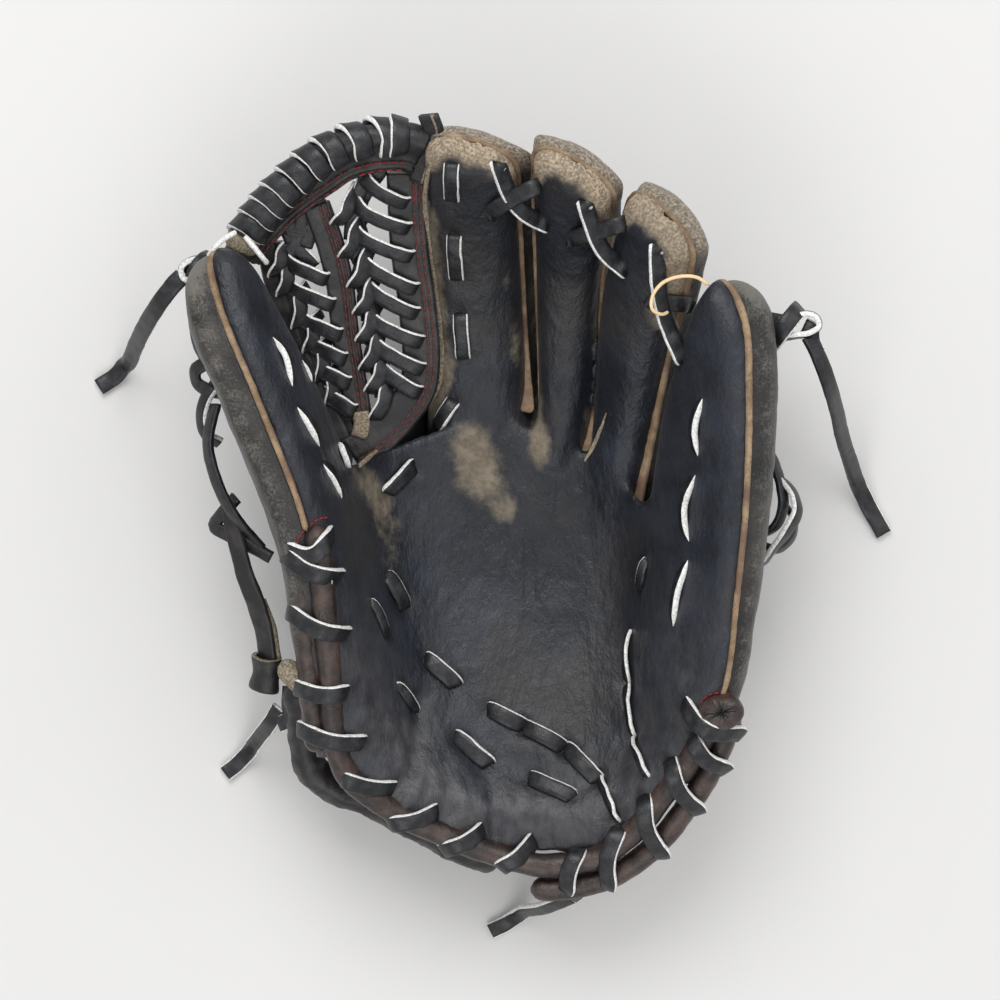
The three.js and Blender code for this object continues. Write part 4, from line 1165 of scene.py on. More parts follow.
THUMB_LEAVES = [((-73.4, 93.7), (-76.4, 86.5)), ((-71.4, 88.1), (-73.6, 79.6)), ((-67.4, 78.3), (-68.4, 68.0)),
                ((-62.4, 68.5), (-64.4, 59.2)), ((-59.0, 59.6), (-60.2, 48.4)), ((-56.0, 50.0), (-56.4, 40.0))]
TURNS = [(-89.8, 101.3), (-86.0, 107.4), (-82.2, 112.1), (-78.1, 117.2), (-73, 122.8), (-67.5, 128.4), (-60.9, 133.6),
         (-50.6, 137.3), (-39.6, 138.7), (-31, 140.1)]


def crown_piece():
    """The web's crown: a roll that runs out into a stitched flap."""
    path = resample(web_line(CROWN, 2.0), 1.3)
    ups = np.array([web_up(p[1]) for p in path])
    at = np.linspace(0, 1, len(path))
    reach = np.interp(at, [0, 0.25, 0.5, 1], [9.5, 11.5, 14.5, 15.0])
    rings = []
    tangent = tangents(path)
    side = unit(np.cross(tangent, ups))
    up = unit(np.cross(side, tangent))
    share = np.linspace(0, 1, 30)
    for i in range(len(path)):
        xs = -4.9 + (reach[i] + 4.9) * share ** 1.15
        fade = np.clip(xs / 8, 0, 1)
        body = np.where(xs < 0, np.sqrt(np.clip(4.9**2 - xs**2, 0, None)),
                        4.9 + (1.7 - 4.9) * fade**2 * (3 - 2 * fade))
        edge = np.clip((reach[i] - xs) / 1.0, 0, 1)
        body = body * np.sqrt(1 - (1 - edge) ** 2 + 1e-4)
        top = body.copy()
        for back in (1.4, 4.6):
            top -= 0.75 * np.exp(-((xs - (reach[i] - back)) / 0.6) ** 2)
        top += 0.55 * np.exp(-((xs - (reach[i] - 3.0)) / 0.9) ** 2)
        section = np.concatenate([np.stack([xs[::-1], top[::-1]], 1), np.stack([xs, -body], 1)])
        rings.append(path[i] + side[i] * section[:, :1] + up[i] * section[:, 1:])
    rings = np.stack(rings)
    flat = rings.reshape(-1, 3)
    flat = flat + np.repeat(up, rings.shape[1], 0) * (0.22 * noise(flat, 5, 51) + 0.12 * noise(flat, 2, 52))[:, None]
    lay("crown_leather", sweep_parts(flat.reshape(rings.shape)), WEB, "fold", "shell_leather",
        "web_crown_thumb", "web_crown_index")

    rows = {RED: [], RUST: []}
    for back in (1.4, 4.6):
        line = path + side * (reach - back)[:, None] + up * 1.35
        split = int(len(line) * 0.66)
        rows[RUST] += stitches(line[2:split:3], ups[2:split:3], lift=0.1)
        rows[RED] += stitches(line[split:-1:3], ups[split:-1:3], lift=0.1)
    for material, parts in rows.items():
        placed(gather("crown_" + material.name, parts, material), "fold", "lace_leather")


def crown_winding():
    """The lace wound round the crown, the worn collar at one end and the crown's end flap."""
    laces = Laces()
    fine = resample(web_line(CROWN, 2.0), 0.5)
    tangent = tangents(fine)
    for x, y in TURNS:
        begin = int(np.argmin((fine[:, 0] - x) ** 2 + (fine[:, 1] - y) ** 2))
        route, ups = [], []
        late = y > 139
        for degrees in (-80, -50, -25, 0, 25, 50, 75, 100, 120, 136, 148):
            a = math.radians(degrees)
            share = (degrees + 40) / 188
            drift, swing = (0.5, 0.8) if late else (4.4 * share, 3.6)
            shift = drift + swing * math.sin(math.pi * np.clip(share, 0, 1))
            i = int(np.clip(begin + shift / 0.5, 0, len(fine) - 1))
            up = web_up(fine[i][1])
            out = -unit(np.cross(tangent[i], up))
            low = 1.0 if degrees < 125 else (0.6 if degrees < 145 else -0.5)
            radial = out * math.cos(a) * 6.0 + up * math.sin(a) * 5.9 * low
            if degrees > 90:
                radial = radial - out * (degrees - 90) * 0.03
            route.append(fine[i] + radial)
            ups.append(unit(radial + up * 0.01))
        laces.strip(route, ups, raw=1, tilt=15, step=0.9, width=7.0)
    laces.lay("crown_lace_turns", "fold", "crown_winding_thumb", "crown_winding_index")

    path = np.stack([fine[12] + tangent[12] * s for s in np.linspace(-3.2, 2.8, 8)])
    angle = np.linspace(0, 2 * math.pi, 28, endpoint=False)
    swell = np.array([0.93, 1.0, 1.03, 1.03, 1.02, 1.0, 0.97, 0.9])
    section = np.stack([np.cos(angle) * 6.3, np.sin(angle) * 5.4], 1)[None] * swell[:, None, None]
    rings = ring_sweep(path, along(web_up(95), 8), section)
    lay("crown_end_collar", sweep_parts(jitter(rings.reshape(-1, 3), 0.25, 3.0, 61).reshape(rings.shape)),
        RAW, "thumb_side", "welt_leather")

    end = web_line([(-19.5, 142), (-17.5, 135), (-20.5, 127), (-23.2, 119)], 3.2)
    lay("crown_end_flap", panel_parts(end, [(-0.3, -0.4, 0.9)], 3.6, 4.2, 2.4, seed=66), WEB, "hand_side",
        "shell_leather")
    laces = Laces()
    laces.strip([p + np.array([0.9, 0, 1.0]) for p in end], (-0.2, -0.3, 1), width=1.6, thick=1.4, raw=2)
    laces.lay("crown_end_edge", "hand_side", slot="welt_leather", materials=[RAW, RAW])


def web_strips():
    """The stitched strips that carry the ladders of lace."""
    parts = [
        ("index_web_strip", INDEX_SEAM, 3.2, [11.5, 14, 13, 12.5, 11, 9, 8, 7], "web_index_strip"),
        ("post_web_strip", POST_SEAM, 3.0, [8.5, 9.0, 8.0, 7.0, 6.0, 5.0], "web_post"),
    ]
    for name, seam, right, lefts, node in parts:
        left = float(np.mean(lefts))
        path = web_line(seam, 0.0)
        # The route runs from the crown down, so the strip's positive side is towards the thumb.
        dents = [(-1.0, 0.6, 0.45), (1.0, 0.6, 0.45)]
        if name == "index_web_strip":
            dents.append((-3.0, 0.5, 0.4))
        lay(name, panel_parts(path, web_ups(seam), right, left, 3.2, dents, seed=71 + len(name)), WEB, "fold",
            "shell_leather", node)
        rows = {RED: [], RUST: []}
        for offset in (-1.0, 1.0):
            fine = resample(path, 1.0)
            ups = along(web_ups(seam), len(fine))
            split = int(len(fine) * 0.12) if name == "index_web_strip" else 0
            if split > 4:
                rows[RED] += stitches(fine[:split:3], ups[:split:3], offset=offset, lift=1.25)
            rows[RUST] += stitches(fine[split::3], ups[split::3], offset=offset, lift=1.25)
        for material, row in rows.items():
            if row:
                placed(gather(f"{name}_{material.name}", row, material), "fold", "lace_leather")
    strip = panel_parts(web_line(THUMB_STRIP, -1.5), web_ups(THUMB_STRIP), 5.0, 5.0, 3.0, [(-1.5, 0.5, 0.5)], seed=79)
    lay("thumb_web_strip", strip, WEB, "thumb_side", "shell_leather", "web_thumb_strip")
    tip = web_line([(-45.6, 36), (-45.2, 31), (-46.4, 26.5)], 1.6)
    lay("post_worn_tip", panel_parts(tip, (0, 0, 1), 3.0, 3.0, 2.2, seed=83), RAW, "fold", "welt_leather")


def ladder(laces, pairs, shifts, lifts, last_up, share=(0.5, 0.5), **looks):
    """Flat laces one above the other across the web, each over a swell from its first place to its second.

    The shifts move the start, the middle and the two last places; share says where along the middle lies.
    """
    for a, b in np.array(pairs):
        places = [a + shifts[0], a, a + (b - a) * share + shifts[1], b + shifts[2], b + shifts[3]]
        route = [web_line([place], lift)[0] for place, lift in zip(places, lifts)]
        up = web_up(a[1])
        laces.strip(route, [up, up, up, up, up + last_up], thick=LADDER_THICK, **looks)


def web_ladders():
    """The laces through the web: a wide ladder beside the index strip and a narrow one beside the thumb's."""
    laces = Laces()
    ladder(laces, RUNGS, [(-3.5, 3.0), (0, 0), (-1, 0.3), (1.0, -0.4)], [-1.5, 2.0, 3.4, 3.0, 0.2], (0.9, -0.3, 0),
           share=(0.45, 0.52), raw=-1, tilt=-6, width=5.9)
    ladder(laces, LEAVES, [(3.0, 3.6), (1.0, 0), (0, 0), (-0.7, -1.8)], [-2.6, 1.6, 3.2, 2.4, 0], (-0.4, -0.9, 0),
           raw=1, tilt=16, width=5.6)
    for (cx, cy), (tx, ty) in zip([rung[0] for rung in RUNGS[:-1]], [leaf[0] for leaf in LEAVES[1:]]):
        below = [(cx + 2.0, cy - 1.0), (cx - 2.0, cy - 3.2), (tx - 1.0, ty + 1.5), (tx - 1.5, ty - 4.0)]
        laces.strip(web_line(below, -1.4), web_up(cy), raw=0, width=6.6)
    for line, raw in TOP_LACES:
        laces.strip(web_line(line, -0.6), web_up(100), raw=raw, width=5.8, thick=LADDER_THICK)
    laces.lay("web_ladder_lace", "fold", "ladder_index")

    laces = Laces()
    ladder(laces, THUMB_RUNGS, [(-4.0, 2.0), (0, 0.2), (-1, 0.2), (0.8, -0.2)], [-1.8, 1.6, 3.3, 3.0, 0.2],
           (0.9, -0.2, 0), raw=-1, tilt=-5, width=5.8)
    ladder(laces, THUMB_LEAVES, [(2.5, 2.5), (0.8, 0), (0, 0), (-0.5, -1.6)], [-3.2, 0.8, 2.2, 1.4, -1.0],
           (0, 0, 0), raw=1, tilt=18, width=5.2)
    laces.lay("thumb_ladder_lace", "thumb_side", "ladder_thumb")


# --- Lacing on the palm and round the bindings --------------------------------------------------

INDEX_TACKS = [((-11.5, 122.4), (-11.5, 111.5)), ((-10.9, 98.6), (-10.1, 84.4)), ((-8.8, 70.8), (-7.8, 56.0)),
               ((-11.8, 39.4), (-17.0, 29.8))]
PALM_TACKS = [
    ((2, -74.5), (13.8, -80.4), 1), ((15.3, -81.2), (28.5, -88.2), 1), ((30.7, -89.1), (41.5, -99.8), 1),
    ((-10.4, -84.5), (1.3, -94), 1), ((17.1, -99.9), (31.8, -106), 1), ((-21.2, -55.8), (-10.8, -65), 1),
    ((-26.6, 15.6), (-35.6, 6.4), -1), ((-35.8, -25.4), (-30.2, -36.4), 1),
]
LEAN_TACKS = [
    ((42.6, -99.6), (48.8, -114.0), 1), ((53.4, -46), (52.6, -63.0), 1), ((52.6, -65.8), (54.6, -82.8), 1),
    ((54.8, -85.4), (59.2, -97), 1), ((-31.8, -65.4), (-25.7, -74.6), 1), ((-41.0, -34.6), (-36.3, -46.7), 1),
    ((59.5, -19.4), (57.6, -29.8), -1),
]


def hole_places(surface):
    """Where laces enter the palm."""
    spots = [p for pair in INDEX_TACKS for p in pair]
    spots += [p for a, b, _ in PALM_TACKS + LEAN_TACKS for p in (a, b)]
    spots += [band[0] for band in BANDS]
    return [h for h in (surface.hit(x, y)[0] for x, y in spots) if h is not None]


BANDS = [
    ((-54.4, -9.0), (-71.6, -15.0), 1, 5.0), ((-51.8, -24.2), (-71.4, -16.4), 1, 2.2),
    ((-49.6, -45.0), (-69.6, -37.0), 1, 1.8), ((-49.7, -66.0), (-67.6, -64.4), 1, 1.6),
    ((-44.3, -84.6), (-65.6, -80.0), 1, 1.6), ((-33.7, -102), (-50, -98.5), 1, 1),
    ((-17.7, -110.8), (-33.0, -115.0), 1, 1), ((-0.9, -118), (-14.6, -125), 1, 1),
    ((17.8, -122), (7.0, -131), 1, 1), ((34.6, -125.4), (30.2, -139.6), -1, -1.4),
    ((49.3, -116.9), (45.4, -138.0), -1, -2.2), ((58.3, -105), (65.2, -127.4), -1, -2.6),
    ((67.4, -91), (78.6, -111.4), -1, -2.6), ((75, -82.5), (89.5, -96.6), -1, -2.4),
    ((72.2, -70), (92.5, -81.5), -1, -4.6),
]


def palm_laces(palm):
    """The flat stitches of lace in the palm and along the index, thumb and little-finger fronts."""
    surface = Surface(palm)
    laces = Laces()
    for a, b in INDEX_TACKS:
        tack(laces, surface, a, b, raw=2, width=5.6, lift=0.9)
    laces.lay("index_edge_tacks", "hand_side", "index_edge_lace")
    laces = Laces()
    for a, b, raw in PALM_TACKS:
        tack(laces, surface, a, b, raw=-raw, tilt=-14 * raw, width=6.2)
    for a, b, raw in LEAN_TACKS:
        tack(laces, surface, a, b, raw=-raw, tilt=-30 * raw, width=4.0, lift=0.7, hump=0.7, thick=1.5)
    laces.lay("palm_tacks", "fold", "palm_lace_pinky", "palm_lace_middle", "palm_lace_thumb")

    laces = Laces()
    for line in ([(78.8, 41), (75.0, 29), (77.2, 17.6)], [(76.6, 13.4), (71.6, 0), (74.4, -13.4)],
                 [(74.2, -17), (69.2, -30), (68.4, -44)]):
        laces.strip(edge_arc(surface, line, -0.3, 1.5), (-0.97, 0, 0.24), raw=-1, width=5.0, thick=2.3, taper=0.34)
    laces.lay("pinky_front_lace", "hand_side", "pinky_lace")

    laces = Laces()
    for line in ([(-76.6, 62.3), (-70.7, 55.2), (-68.4, 42.4)], [(-67.4, 37.3), (-61.7, 29.9), (-58.9, 21.6)],
                 [(-58.4, 17.0), (-53.6, 11.2), (-51.1, 3.1)], [(-66.2, 54.5), (-63.4, 50.0), (-62.2, 45)],
                 [(-53, 24), (-50.2, 19.8), (-48.9, 14.8)]):
        laces.strip(edge_arc(surface, line, -0.2, 1.5), (0.97, 0.1, 0.24), raw=1, width=5.0, thick=2.3, taper=0.34)
    laces.lay("thumb_front_lace", "thumb_side", "thumb_web_lace")


def palm_raw_edge(palm):
    """The palm's cut edge beside the web, and the slit between two stalls."""
    surface = Surface(palm)
    line = [(-19.6, 122), (-21.2, 113), (-20.6, 100), (-18.6, 85), (-16.4, 66), (-16.0, 53), (-17.8, 44),
            (-25, 35), (-35.5, 25), (-47.5, 14)]
    route, high = [], 40.0
    for x, y, _ in resample([(x, y, 0) for x, y in line], 3.0):
        spots = [surface.hit(x + dx, y + dy)[0] for dx, dy in ((0, 0), (1.5, -0.8), (3, -1.6))]
        spots = [q[2] for q in spots if q is not None]
        high = max(spots) if spots else high
        route.append((x, y, high + 0.1))
    z = np.convolve(np.pad([q[2] for q in route], 2, mode="edge"), np.ones(5) / 5, mode="valid")
    lay("palm_raw_edge", blade_parts([(q[0], q[1], h) for q, h in zip(route, z)], (-0.2, 0.1, 1),
                                     [1.6, 2.0, 1.8, 2.2, 1.8, 1.6], 1.6, seed=141), RAW, "fold", "welt_leather")
    route = [np.array([x, y, surface.hit(x, y)[0][2] + 0.2]) for x,
             y in ((37.0, 17.4), (39.6, 21.6), (42.4, 28), (44.8, 35))]
    lay("palm_raw_slit", blade_parts(route, (0, 0, 1), [1.0, 1.7, 1.4, 0.5], 1.4, seed=144), RAW, "hand_side",
        "welt_leather")


def binding_bands(*rolls):
    """The lace that holds the bindings to the palm."""
    surface = Surface(*rolls)
    laces = Laces()
    for a, b, raw, sag in BANDS[:6]:
        taut(laces, surface, a, b, raw=raw, tilt=12 * raw, sag=sag)
    laces.strip([(-56.4, -24, 106), (-56.8, -28, 104.6), (-56.4, -38, 102.6), (-55.8, -47, 99.4),
                 (-55.4, -52, 95)], (0.35, 0, 1), raw=-1, width=5.4)
    laces.lay("thumb_binding_lace", "thumb_side", "heel_lace_thumb")
    laces = Laces()
    for a, b, raw, sag in BANDS[6:]:
        taut(laces, surface, a, b, raw=raw, tilt=12 * raw, sag=sag)
    laces.lay("heel_binding_lace", "fold", "heel_lace_pinky")


def fingertip_laces(palm):
    """The laces that cross between neighbouring stalls."""
    surface = Surface(palm)
    crossings = {
        "index_middle": ([(2.5, 106.5), (11, 111.5), (19.8, 115.5)],
                         [(5.0, 122.5), (9.5, 112), (14, 106.5), (22.4, 102.4)]),
        "middle_ring": ([(31.8, 97.2), (40, 99.2), (50.2, 101.8)], [(36, 109), (39.5, 99), (43, 92.5), (50.7, 85.8)]),
        "ring_pinky": ([(60.5, 74.8), (67, 74), (73.6, 73.4)], [(61.5, 93), (62.3, 80), (65, 68), (71, 54.3)]),
    }
    for name, lines in crossings.items():
        laces = Laces()
        for line in lines:
            flat = resample([(x, y, 0) for x, y in line], 3.0)
            found = [surface.hit(x, y)[0] for x, y, _ in flat]
            heights = [p[2] for p in found if p is not None]
            first, last = heights[0], heights[-1]
            route = []
            for k, (x, y, _) in enumerate(flat):
                s = k / (len(flat) - 1)
                straight = first + (last - first) * s
                here = found[k][2] if found[k] is not None else straight
                if line is lines[0]:
                    height = straight + 1.2 + 3.6 * min(1.0, 6 * s, 6 * (1 - s))
                else:
                    height = max(here, straight - 1.0) + 0.8
                route.append(np.array([x, y, height]))
            way = unit(route[-1] - route[0])
            flat_one = line is lines[0]
            laces.strip([route[0] - [0, 0, 5.0] + way, *route, route[-1] - [0, 0, 5.0] - way],
                        (0, -0.1, 1) if flat_one else (0, -0.3, 0.95),
                        raw=0 if flat_one else 1, tilt=0 if flat_one else 24, width=6.2, thick=1.5 if flat_one else 1.9)
        laces.lay(f"fingertip_lace_{name}_cross", "hand_side", f"fingertip_lace_{name}")


# --- Knots, strap and inside pieces -------------------------------------------------------------

def blade_parts(route, ups, widths, thick, step=1.2, seed=91):
    """A flat tongue of leather whose width changes along its route."""
    path = resample(route, step)
    ups = along(ups, len(path))
    wide = np.interp(np.linspace(0, len(widths) - 1, len(path)), range(len(widths)), widths) / 2
    xs = np.linspace(-1, 1, 17)
    half = thick / 2 * np.sqrt(1 - np.abs(xs) ** 6 + 0.01)
    section = np.concatenate([np.stack([xs[::-1], half], 1), np.stack([xs, -half], 1)])
    section = section[None] * np.stack([wide, np.ones(len(path))], 1)[:, None]
    rings = ring_sweep(path, ups, section)
    return sweep_parts(jitter(rings.reshape(-1, 3), 0.16, 3.5, seed).reshape(rings.shape))


def sleeve(name, route, ups, rx, ry, thick, material):
    """A short open sleeve of leather."""
    path = resample(route, 0.9)
    angle = np.linspace(0, 2 * math.pi, 40, endpoint=False)
    ring = np.stack([np.cos(angle), np.sin(angle)], 1)
    flare = 1 + 0.06 * np.cos(np.linspace(0, 2 * math.pi, len(path)))
    outer = ring_sweep(path, along(ups, len(path)), ring[None] * flare[:, None, None] * [rx, ry])
    inner = ring_sweep(path, along(ups, len(path)), ring[None] * flare[:, None, None] * [rx - thick, ry - thick])
    rows = len(path)
    a = grid_faces(rows, 40, closed=True)[:, ::-1]
    b = grid_faces(rows, 40, rows * 40, closed=True)
    k = np.arange(40)
    rims = []
    for r, turn in ((0, 1), (rows - 1, -1)):
        quad = np.stack([r * 40 + k, r * 40 + (k + 1) % 40, rows * 40 + r * 40 + (k + 1) % 40,
                         rows * 40 + r * 40 + k], 1)
        rims.append(quad[:, ::turn])
    points = np.concatenate([outer.reshape(-1, 3), inner.reshape(-1, 3)])
    points = jitter(points, 0.3, 4.0, 95)
    faces = np.concatenate([a, b, *rims])
    slots = [0] * (len(a) + len(b)) + [1] * (2 * len(k))
    return make(name, points, faces.tolist(), [material, RAW], slots=slots)


def knots_and_loops():
    """The knots at the thumb and little finger and the loops at the sides."""
    laces = Laces()
    laces.strip([(97, 68.5, 77), (102, 68, 80), (107, 67, 83)], (0, 0.2, 1), raw=0)
    laces.strip([(104.2, 59.8, 79), (105.0, 61.2, 85.5), (108.2, 65.6, 88.6), (112, 70.4, 87.2), (114, 72.2, 81)],
                [(-0.9, -0.6, 0.3), (-0.5, -0.4, 1), (0, 0, 1), (0.5, 0.5, 1), (0.9, 0.8, 0.2)], raw=1, width=6.6)
    laces.strip([(106.8, 61.8, 82.5), (112, 62.4, 84.5), (117, 63.0, 85), (120.6, 65.4, 85),
                 (119.6, 69.2, 85), (115, 70.2, 85), (110.5, 68.4, 83)],
                [(-0.2, -1, 0.1), (0, -1, 0.1), (0.3, -1, 0.1), (1, -0.2, 0.1), (0.6, 0.9, 0.1),
                 (-0.2, 1, 0.1), (-0.6, 0.6, 0.1)], raw=-1, width=6.2)
    laces.strip([(115.4, 66.2, 84.2), (118, 64.6, 84.6), (118.6, 61, 83), (120.2, 56.6, 83)], (0.1, -0.1, 1),
                raw=-1, width=5.6)
    laces.lay("pinky_lace_knot", "hand_side", "pinky_knot")

    laces = Laces()
    laces.strip([(102, -20, 62), (105.6, -14.5, 68), (110, -8.4, 72), (113.6, -1.4, 73), (112.6, 5, 71),
                 (108.4, 10.6, 68), (101, 15, 60)],
                [(0.7, -0.6, 0.3), (0.8, -0.4, 0.5), (0.8, -0.1, 0.6), (1, 0.1, 0.5), (0.9, 0.5, 0.4),
                 (0.8, 0.6, 0.4)], raw=-1, width=6.0)
    laces.strip([(100, -10, 64), (106, -6.4, 70), (108.6, 0.4, 72), (108, 8, 71), (105, 18, 68), (100, 26, 64)],
                [(0.6, -0.3, 0.7), (0.8, 0, 0.6), (0.8, 0.1, 0.6), (0.8, 0.2, 0.6)], raw=0, width=5.2)
    laces.strip([(101, -13, 60), (107, -15, 62), (112, -11, 62), (113.6, -5, 60), (110, 2, 55)],
                [(0.3, -0.9, 0.4), (0.5, -0.8, 0.4), (0.9, -0.4, 0.4), (1, 0, 0.3)], raw=0, width=5.6)
    laces.lay("pinky_side_loop", "hand_side")

    laces = Laces()
    laces.strip([(-93, 88.5, 80), (-98, 87.5, 83), (-103, 86.5, 85), (-107, 84, 84)], (0, -0.2, 1), raw=0)
    laces.strip([(-98.5, 91.6, 80), (-100, 90, 86), (-102.6, 86.8, 88.4), (-104.6, 82.8, 87), (-105.2, 80.6, 80)],
                [(0.4, 0.9, 0.3), (0.2, 0.4, 1), (0, 0, 1), (-0.3, -0.5, 1), (-0.4, -1, 0.2)], raw=-1, width=6.4)
    laces.strip([(-99.5, 83, 82), (-104, 81.6, 85), (-108.6, 83, 85.5), (-109, 87, 85.5), (-105, 89.8, 85),
                 (-100, 90, 82)],
                [(0.2, -1, 0.1), (-0.1, -1, 0.1), (-0.9, -0.4, 0.1), (-0.9, 0.5, 0.1), (0, 1, 0.1),
                 (0.4, 0.8, 0.1)], raw=1, width=5.8)
    laces.lay("thumb_lace_knot", "thumb_side", "thumb_knot")

    laces = Laces()
    for route, raw in (
        ([(-96, 92, 74), (-101, 84, 76), (-104.5, 72, 76), (-104, 60, 74), (-100, 52, 70)], -1),
        ([(-96, 58, 66), (-102, 53, 68), (-105.4, 50.5, 66), (-105, 46, 64), (-100.5, 43, 66), (-96, 42, 64)], 1),
        ([(-97, 47, 66), (-101.8, 40, 66), (-103.4, 33, 64), (-101.8, 27, 62), (-97, 24, 60)], -1),
        ([(-98, 38, 68), (-100.6, 24, 70), (-97.4, 10, 71.5), (-91.4, -2, 70.5), (-82, -14, 62)], 1),
        ([(-91, 4, 60), (-97.6, -3.6, 58), (-99.4, -6.4, 58), (-94, -9.6, 60), (-86, -13.6, 62), (-78, -18, 62)], 1),
    ):
        laces.strip(route, (-0.75, -0.15, 0.66), raw=raw, width=5.4)
    laces.lay("thumb_side_loops", "thumb_side")

    laces = Laces()
    laces.strip([(-98.4, 90.4, 98), (-96, 93, 100.6), (-92, 96.6, 101.4), (-88.6, 98.6, 100)], (0.2, -0.2, 1),
                raw=2, width=1.9, thick=1.4)
    laces.strip([(-85.2, 97, 99), (-82, 93.4, 101), (-79.4, 90, 99.4), (-77.6, 88, 96)], (0.2, -0.2, 1),
                raw=2, width=1.9, thick=1.4)
    laces.lay("thumb_tip_laces", "thumb_side", materials=[LACE[1], LACE[1]])


def strap_end():
    """The strap's free end in its loop, the roll at the wrist and short roots of the loose laces."""
    route = [(-95.4, 3.8, 66), (-92.6, -5, 65), (-91.2, -10, 64), (-87.8, -24, 61), (-84.2, -34, 58),
             (-81.4, -44, 55), (-80.0, -54.7, 51), (-79, -62, 47)]
    ups = [(-0.35, 0.1, 0.93), (-0.45, 0, 0.9), (-0.5, 0, 0.87), (-0.6, -0.1, 0.8), (-0.65, -0.1, 0.75)]
    points, faces = blade_parts(route, ups, [1.2, 6.6, 7.2, 7.8, 8.4, 8.6, 8.6, 8.6], 2.4)
    tongue = make("strap_end", points, faces, WEB)
    placed(tongue, "strap_tongue", "shell_leather", "strap_tongue")
    shift = np.array([3.3, 0.8, 0.6])
    lay("strap_end_raw_side", blade_parts([np.array(q) + shift for q in route[4:]], ups[3:],
                                          [0.6, 3.0, 3.6, 3.4], 1.8, seed=98), RAW, "strap_tongue", "welt_leather")
    placed(sleeve("strap_loop", [(-80.4, -54.6, 51), (-80.6, -60, 49), (-81.6, -66.6, 46)],
                  (-0.5, -0.2, 0.85), 5.6, 4.2, 1.7, WEB),
           "thumb_side", "shell_leather", "strap_keeper")
    lay("thumb_roll_end", tube_parts([(-72.4, -54.6, 86), (-69.6, -59, 87.6), (-64.6, -65.4, 86)], 4.1,
                                     flatten=0.8, seed=99, lumps=0.5), RAW, "thumb_side", "binding_leather")
    wrist = [(-69.5, -64, 60), (-66.6, -76, 52), (-66.4, -88, 46), (-63.6, -97.5, 42), (-55, -104, 40),
             (-44, -108, 40), (-30, -115, 42), (-12, -124, 42), (6, -131, 42)]
    lay("wrist_edge", tube_parts(wrist, 6.2, seed=103, lumps=0.7), WEB, "fold", "shell_leather")
    laces = Laces()
    laces.strip([(-72, -66, 50), (-72.4, -72, 49), (-72.6, -78, 46), (-76, -80, 43)], (-0.7, -0.2, 0.6),
                raw=2, width=6.6)
    laces.lay("wrist_lace_root", "thumb_side")
    laces = Laces()
    laces.strip([(37, -132, 51), (36.5, -137, 50), (34.6, -141.5, 46.5), (32, -144.5, 40)], (-0.3, -0.9, 0.5), raw=2)
    laces.lay("heel_lace_root", "hand_side")


def roll_ends(palm, backs):
    """The bindings' gathered end with its red stitches, and the tag's loop."""
    turn, tall = np.meshgrid(np.linspace(0, 2 * math.pi, 64, endpoint=False),
                             np.linspace(-0.9, math.pi / 2 - 0.02, 26))
    pinch = 1 - np.exp(-((math.pi / 2 - tall) / 0.35) ** 2)
    fold = (0.10 * np.sin(turn * 5 + 0.8) + 0.06 * np.sin(turn * 9)) * np.sin(np.clip(tall, 0, None))
    r = np.cos(tall) * (1 - fold)
    ring = np.stack([8.4 * r * np.cos(turn), 6.6 * r * np.sin(turn),
                     5.0 * np.sin(tall) - 2.2 * (1 - pinch) - 4.0 * fold], -1)
    c, k = math.cos(math.radians(8)), math.sin(math.radians(8))
    points = ring @ np.array([[c, k, 0], [-k, c, 0], [0, 0, 1]]) + np.array([85.0, -73.0, 92.8])
    faces = [tuple(f) for f in grid_faces(26, 64, closed=True)]
    faces += [tuple(range(63, -1, -1)), tuple(range(25 * 64, 26 * 64))]
    obj = make("pinky_roll_end", jitter(points.reshape(-1, 3), 0.25, 3.0, 121), faces, BINDING)
    # Painted shade in the pinched middle and the folds of the gathered end.
    paint(obj, "dark", 0.8 * (1 - pinch.ravel()) + 0.5 * np.clip(fold.ravel() * 8, 0, 1))
    placed(obj, "hand_side", "binding_leather")
    arcs = [([(77.6, -70.5, 94.6), (79.4, -67.6, 95.6), (83.6, -66, 96.4), (87.6, -66.4, 96.2),
              (90.6, -68.4, 95)], "hand_side"),
            ([(-66.6, -13.4, 103), (-65.4, -9.6, 107), (-62.4, -6.4, 108.6), (-58.6, -3.6, 108.2),
              (-55.6, -3.2, 106.4)], "thumb_side")]
    for route, body in arcs:
        middle = np.mean(route, axis=0) - [0, 0, 14]
        line = resample(route, 1.0)
        skins = [Surface(palm), Surface(backs["pinky" if body == "hand_side" else "thumb"])]
        for point in line:
            found = [place[2] for place, _ in (skin.hit(point[0], point[1]) for skin in skins) if place is not None]
            point[2] = max(found) + 0.2 if found else point[2]
        parts = stitches(line, unit(line - middle), pitch=2.3, long=1.9, wide=0.8, tall=0.6)
        placed(gather(f"roll_stitching_{body}", parts, RED), body, "lace_leather")
    loop = [(80, 79.5, 104), (75.6, 82.2, 106), (70, 82.6, 105), (63.6, 80.4, 103), (60.0, 75.6, 102),
            (60.0, 71, 101), (63.4, 69.4, 99), (66, 70.4, 96)]
    loop = tube_parts(loop, 0.65, sides=10, step=0.8, seed=131, lumps=0.05)
    lay("tag_loop", loop, TAG, "hand_side", "lace_leather")


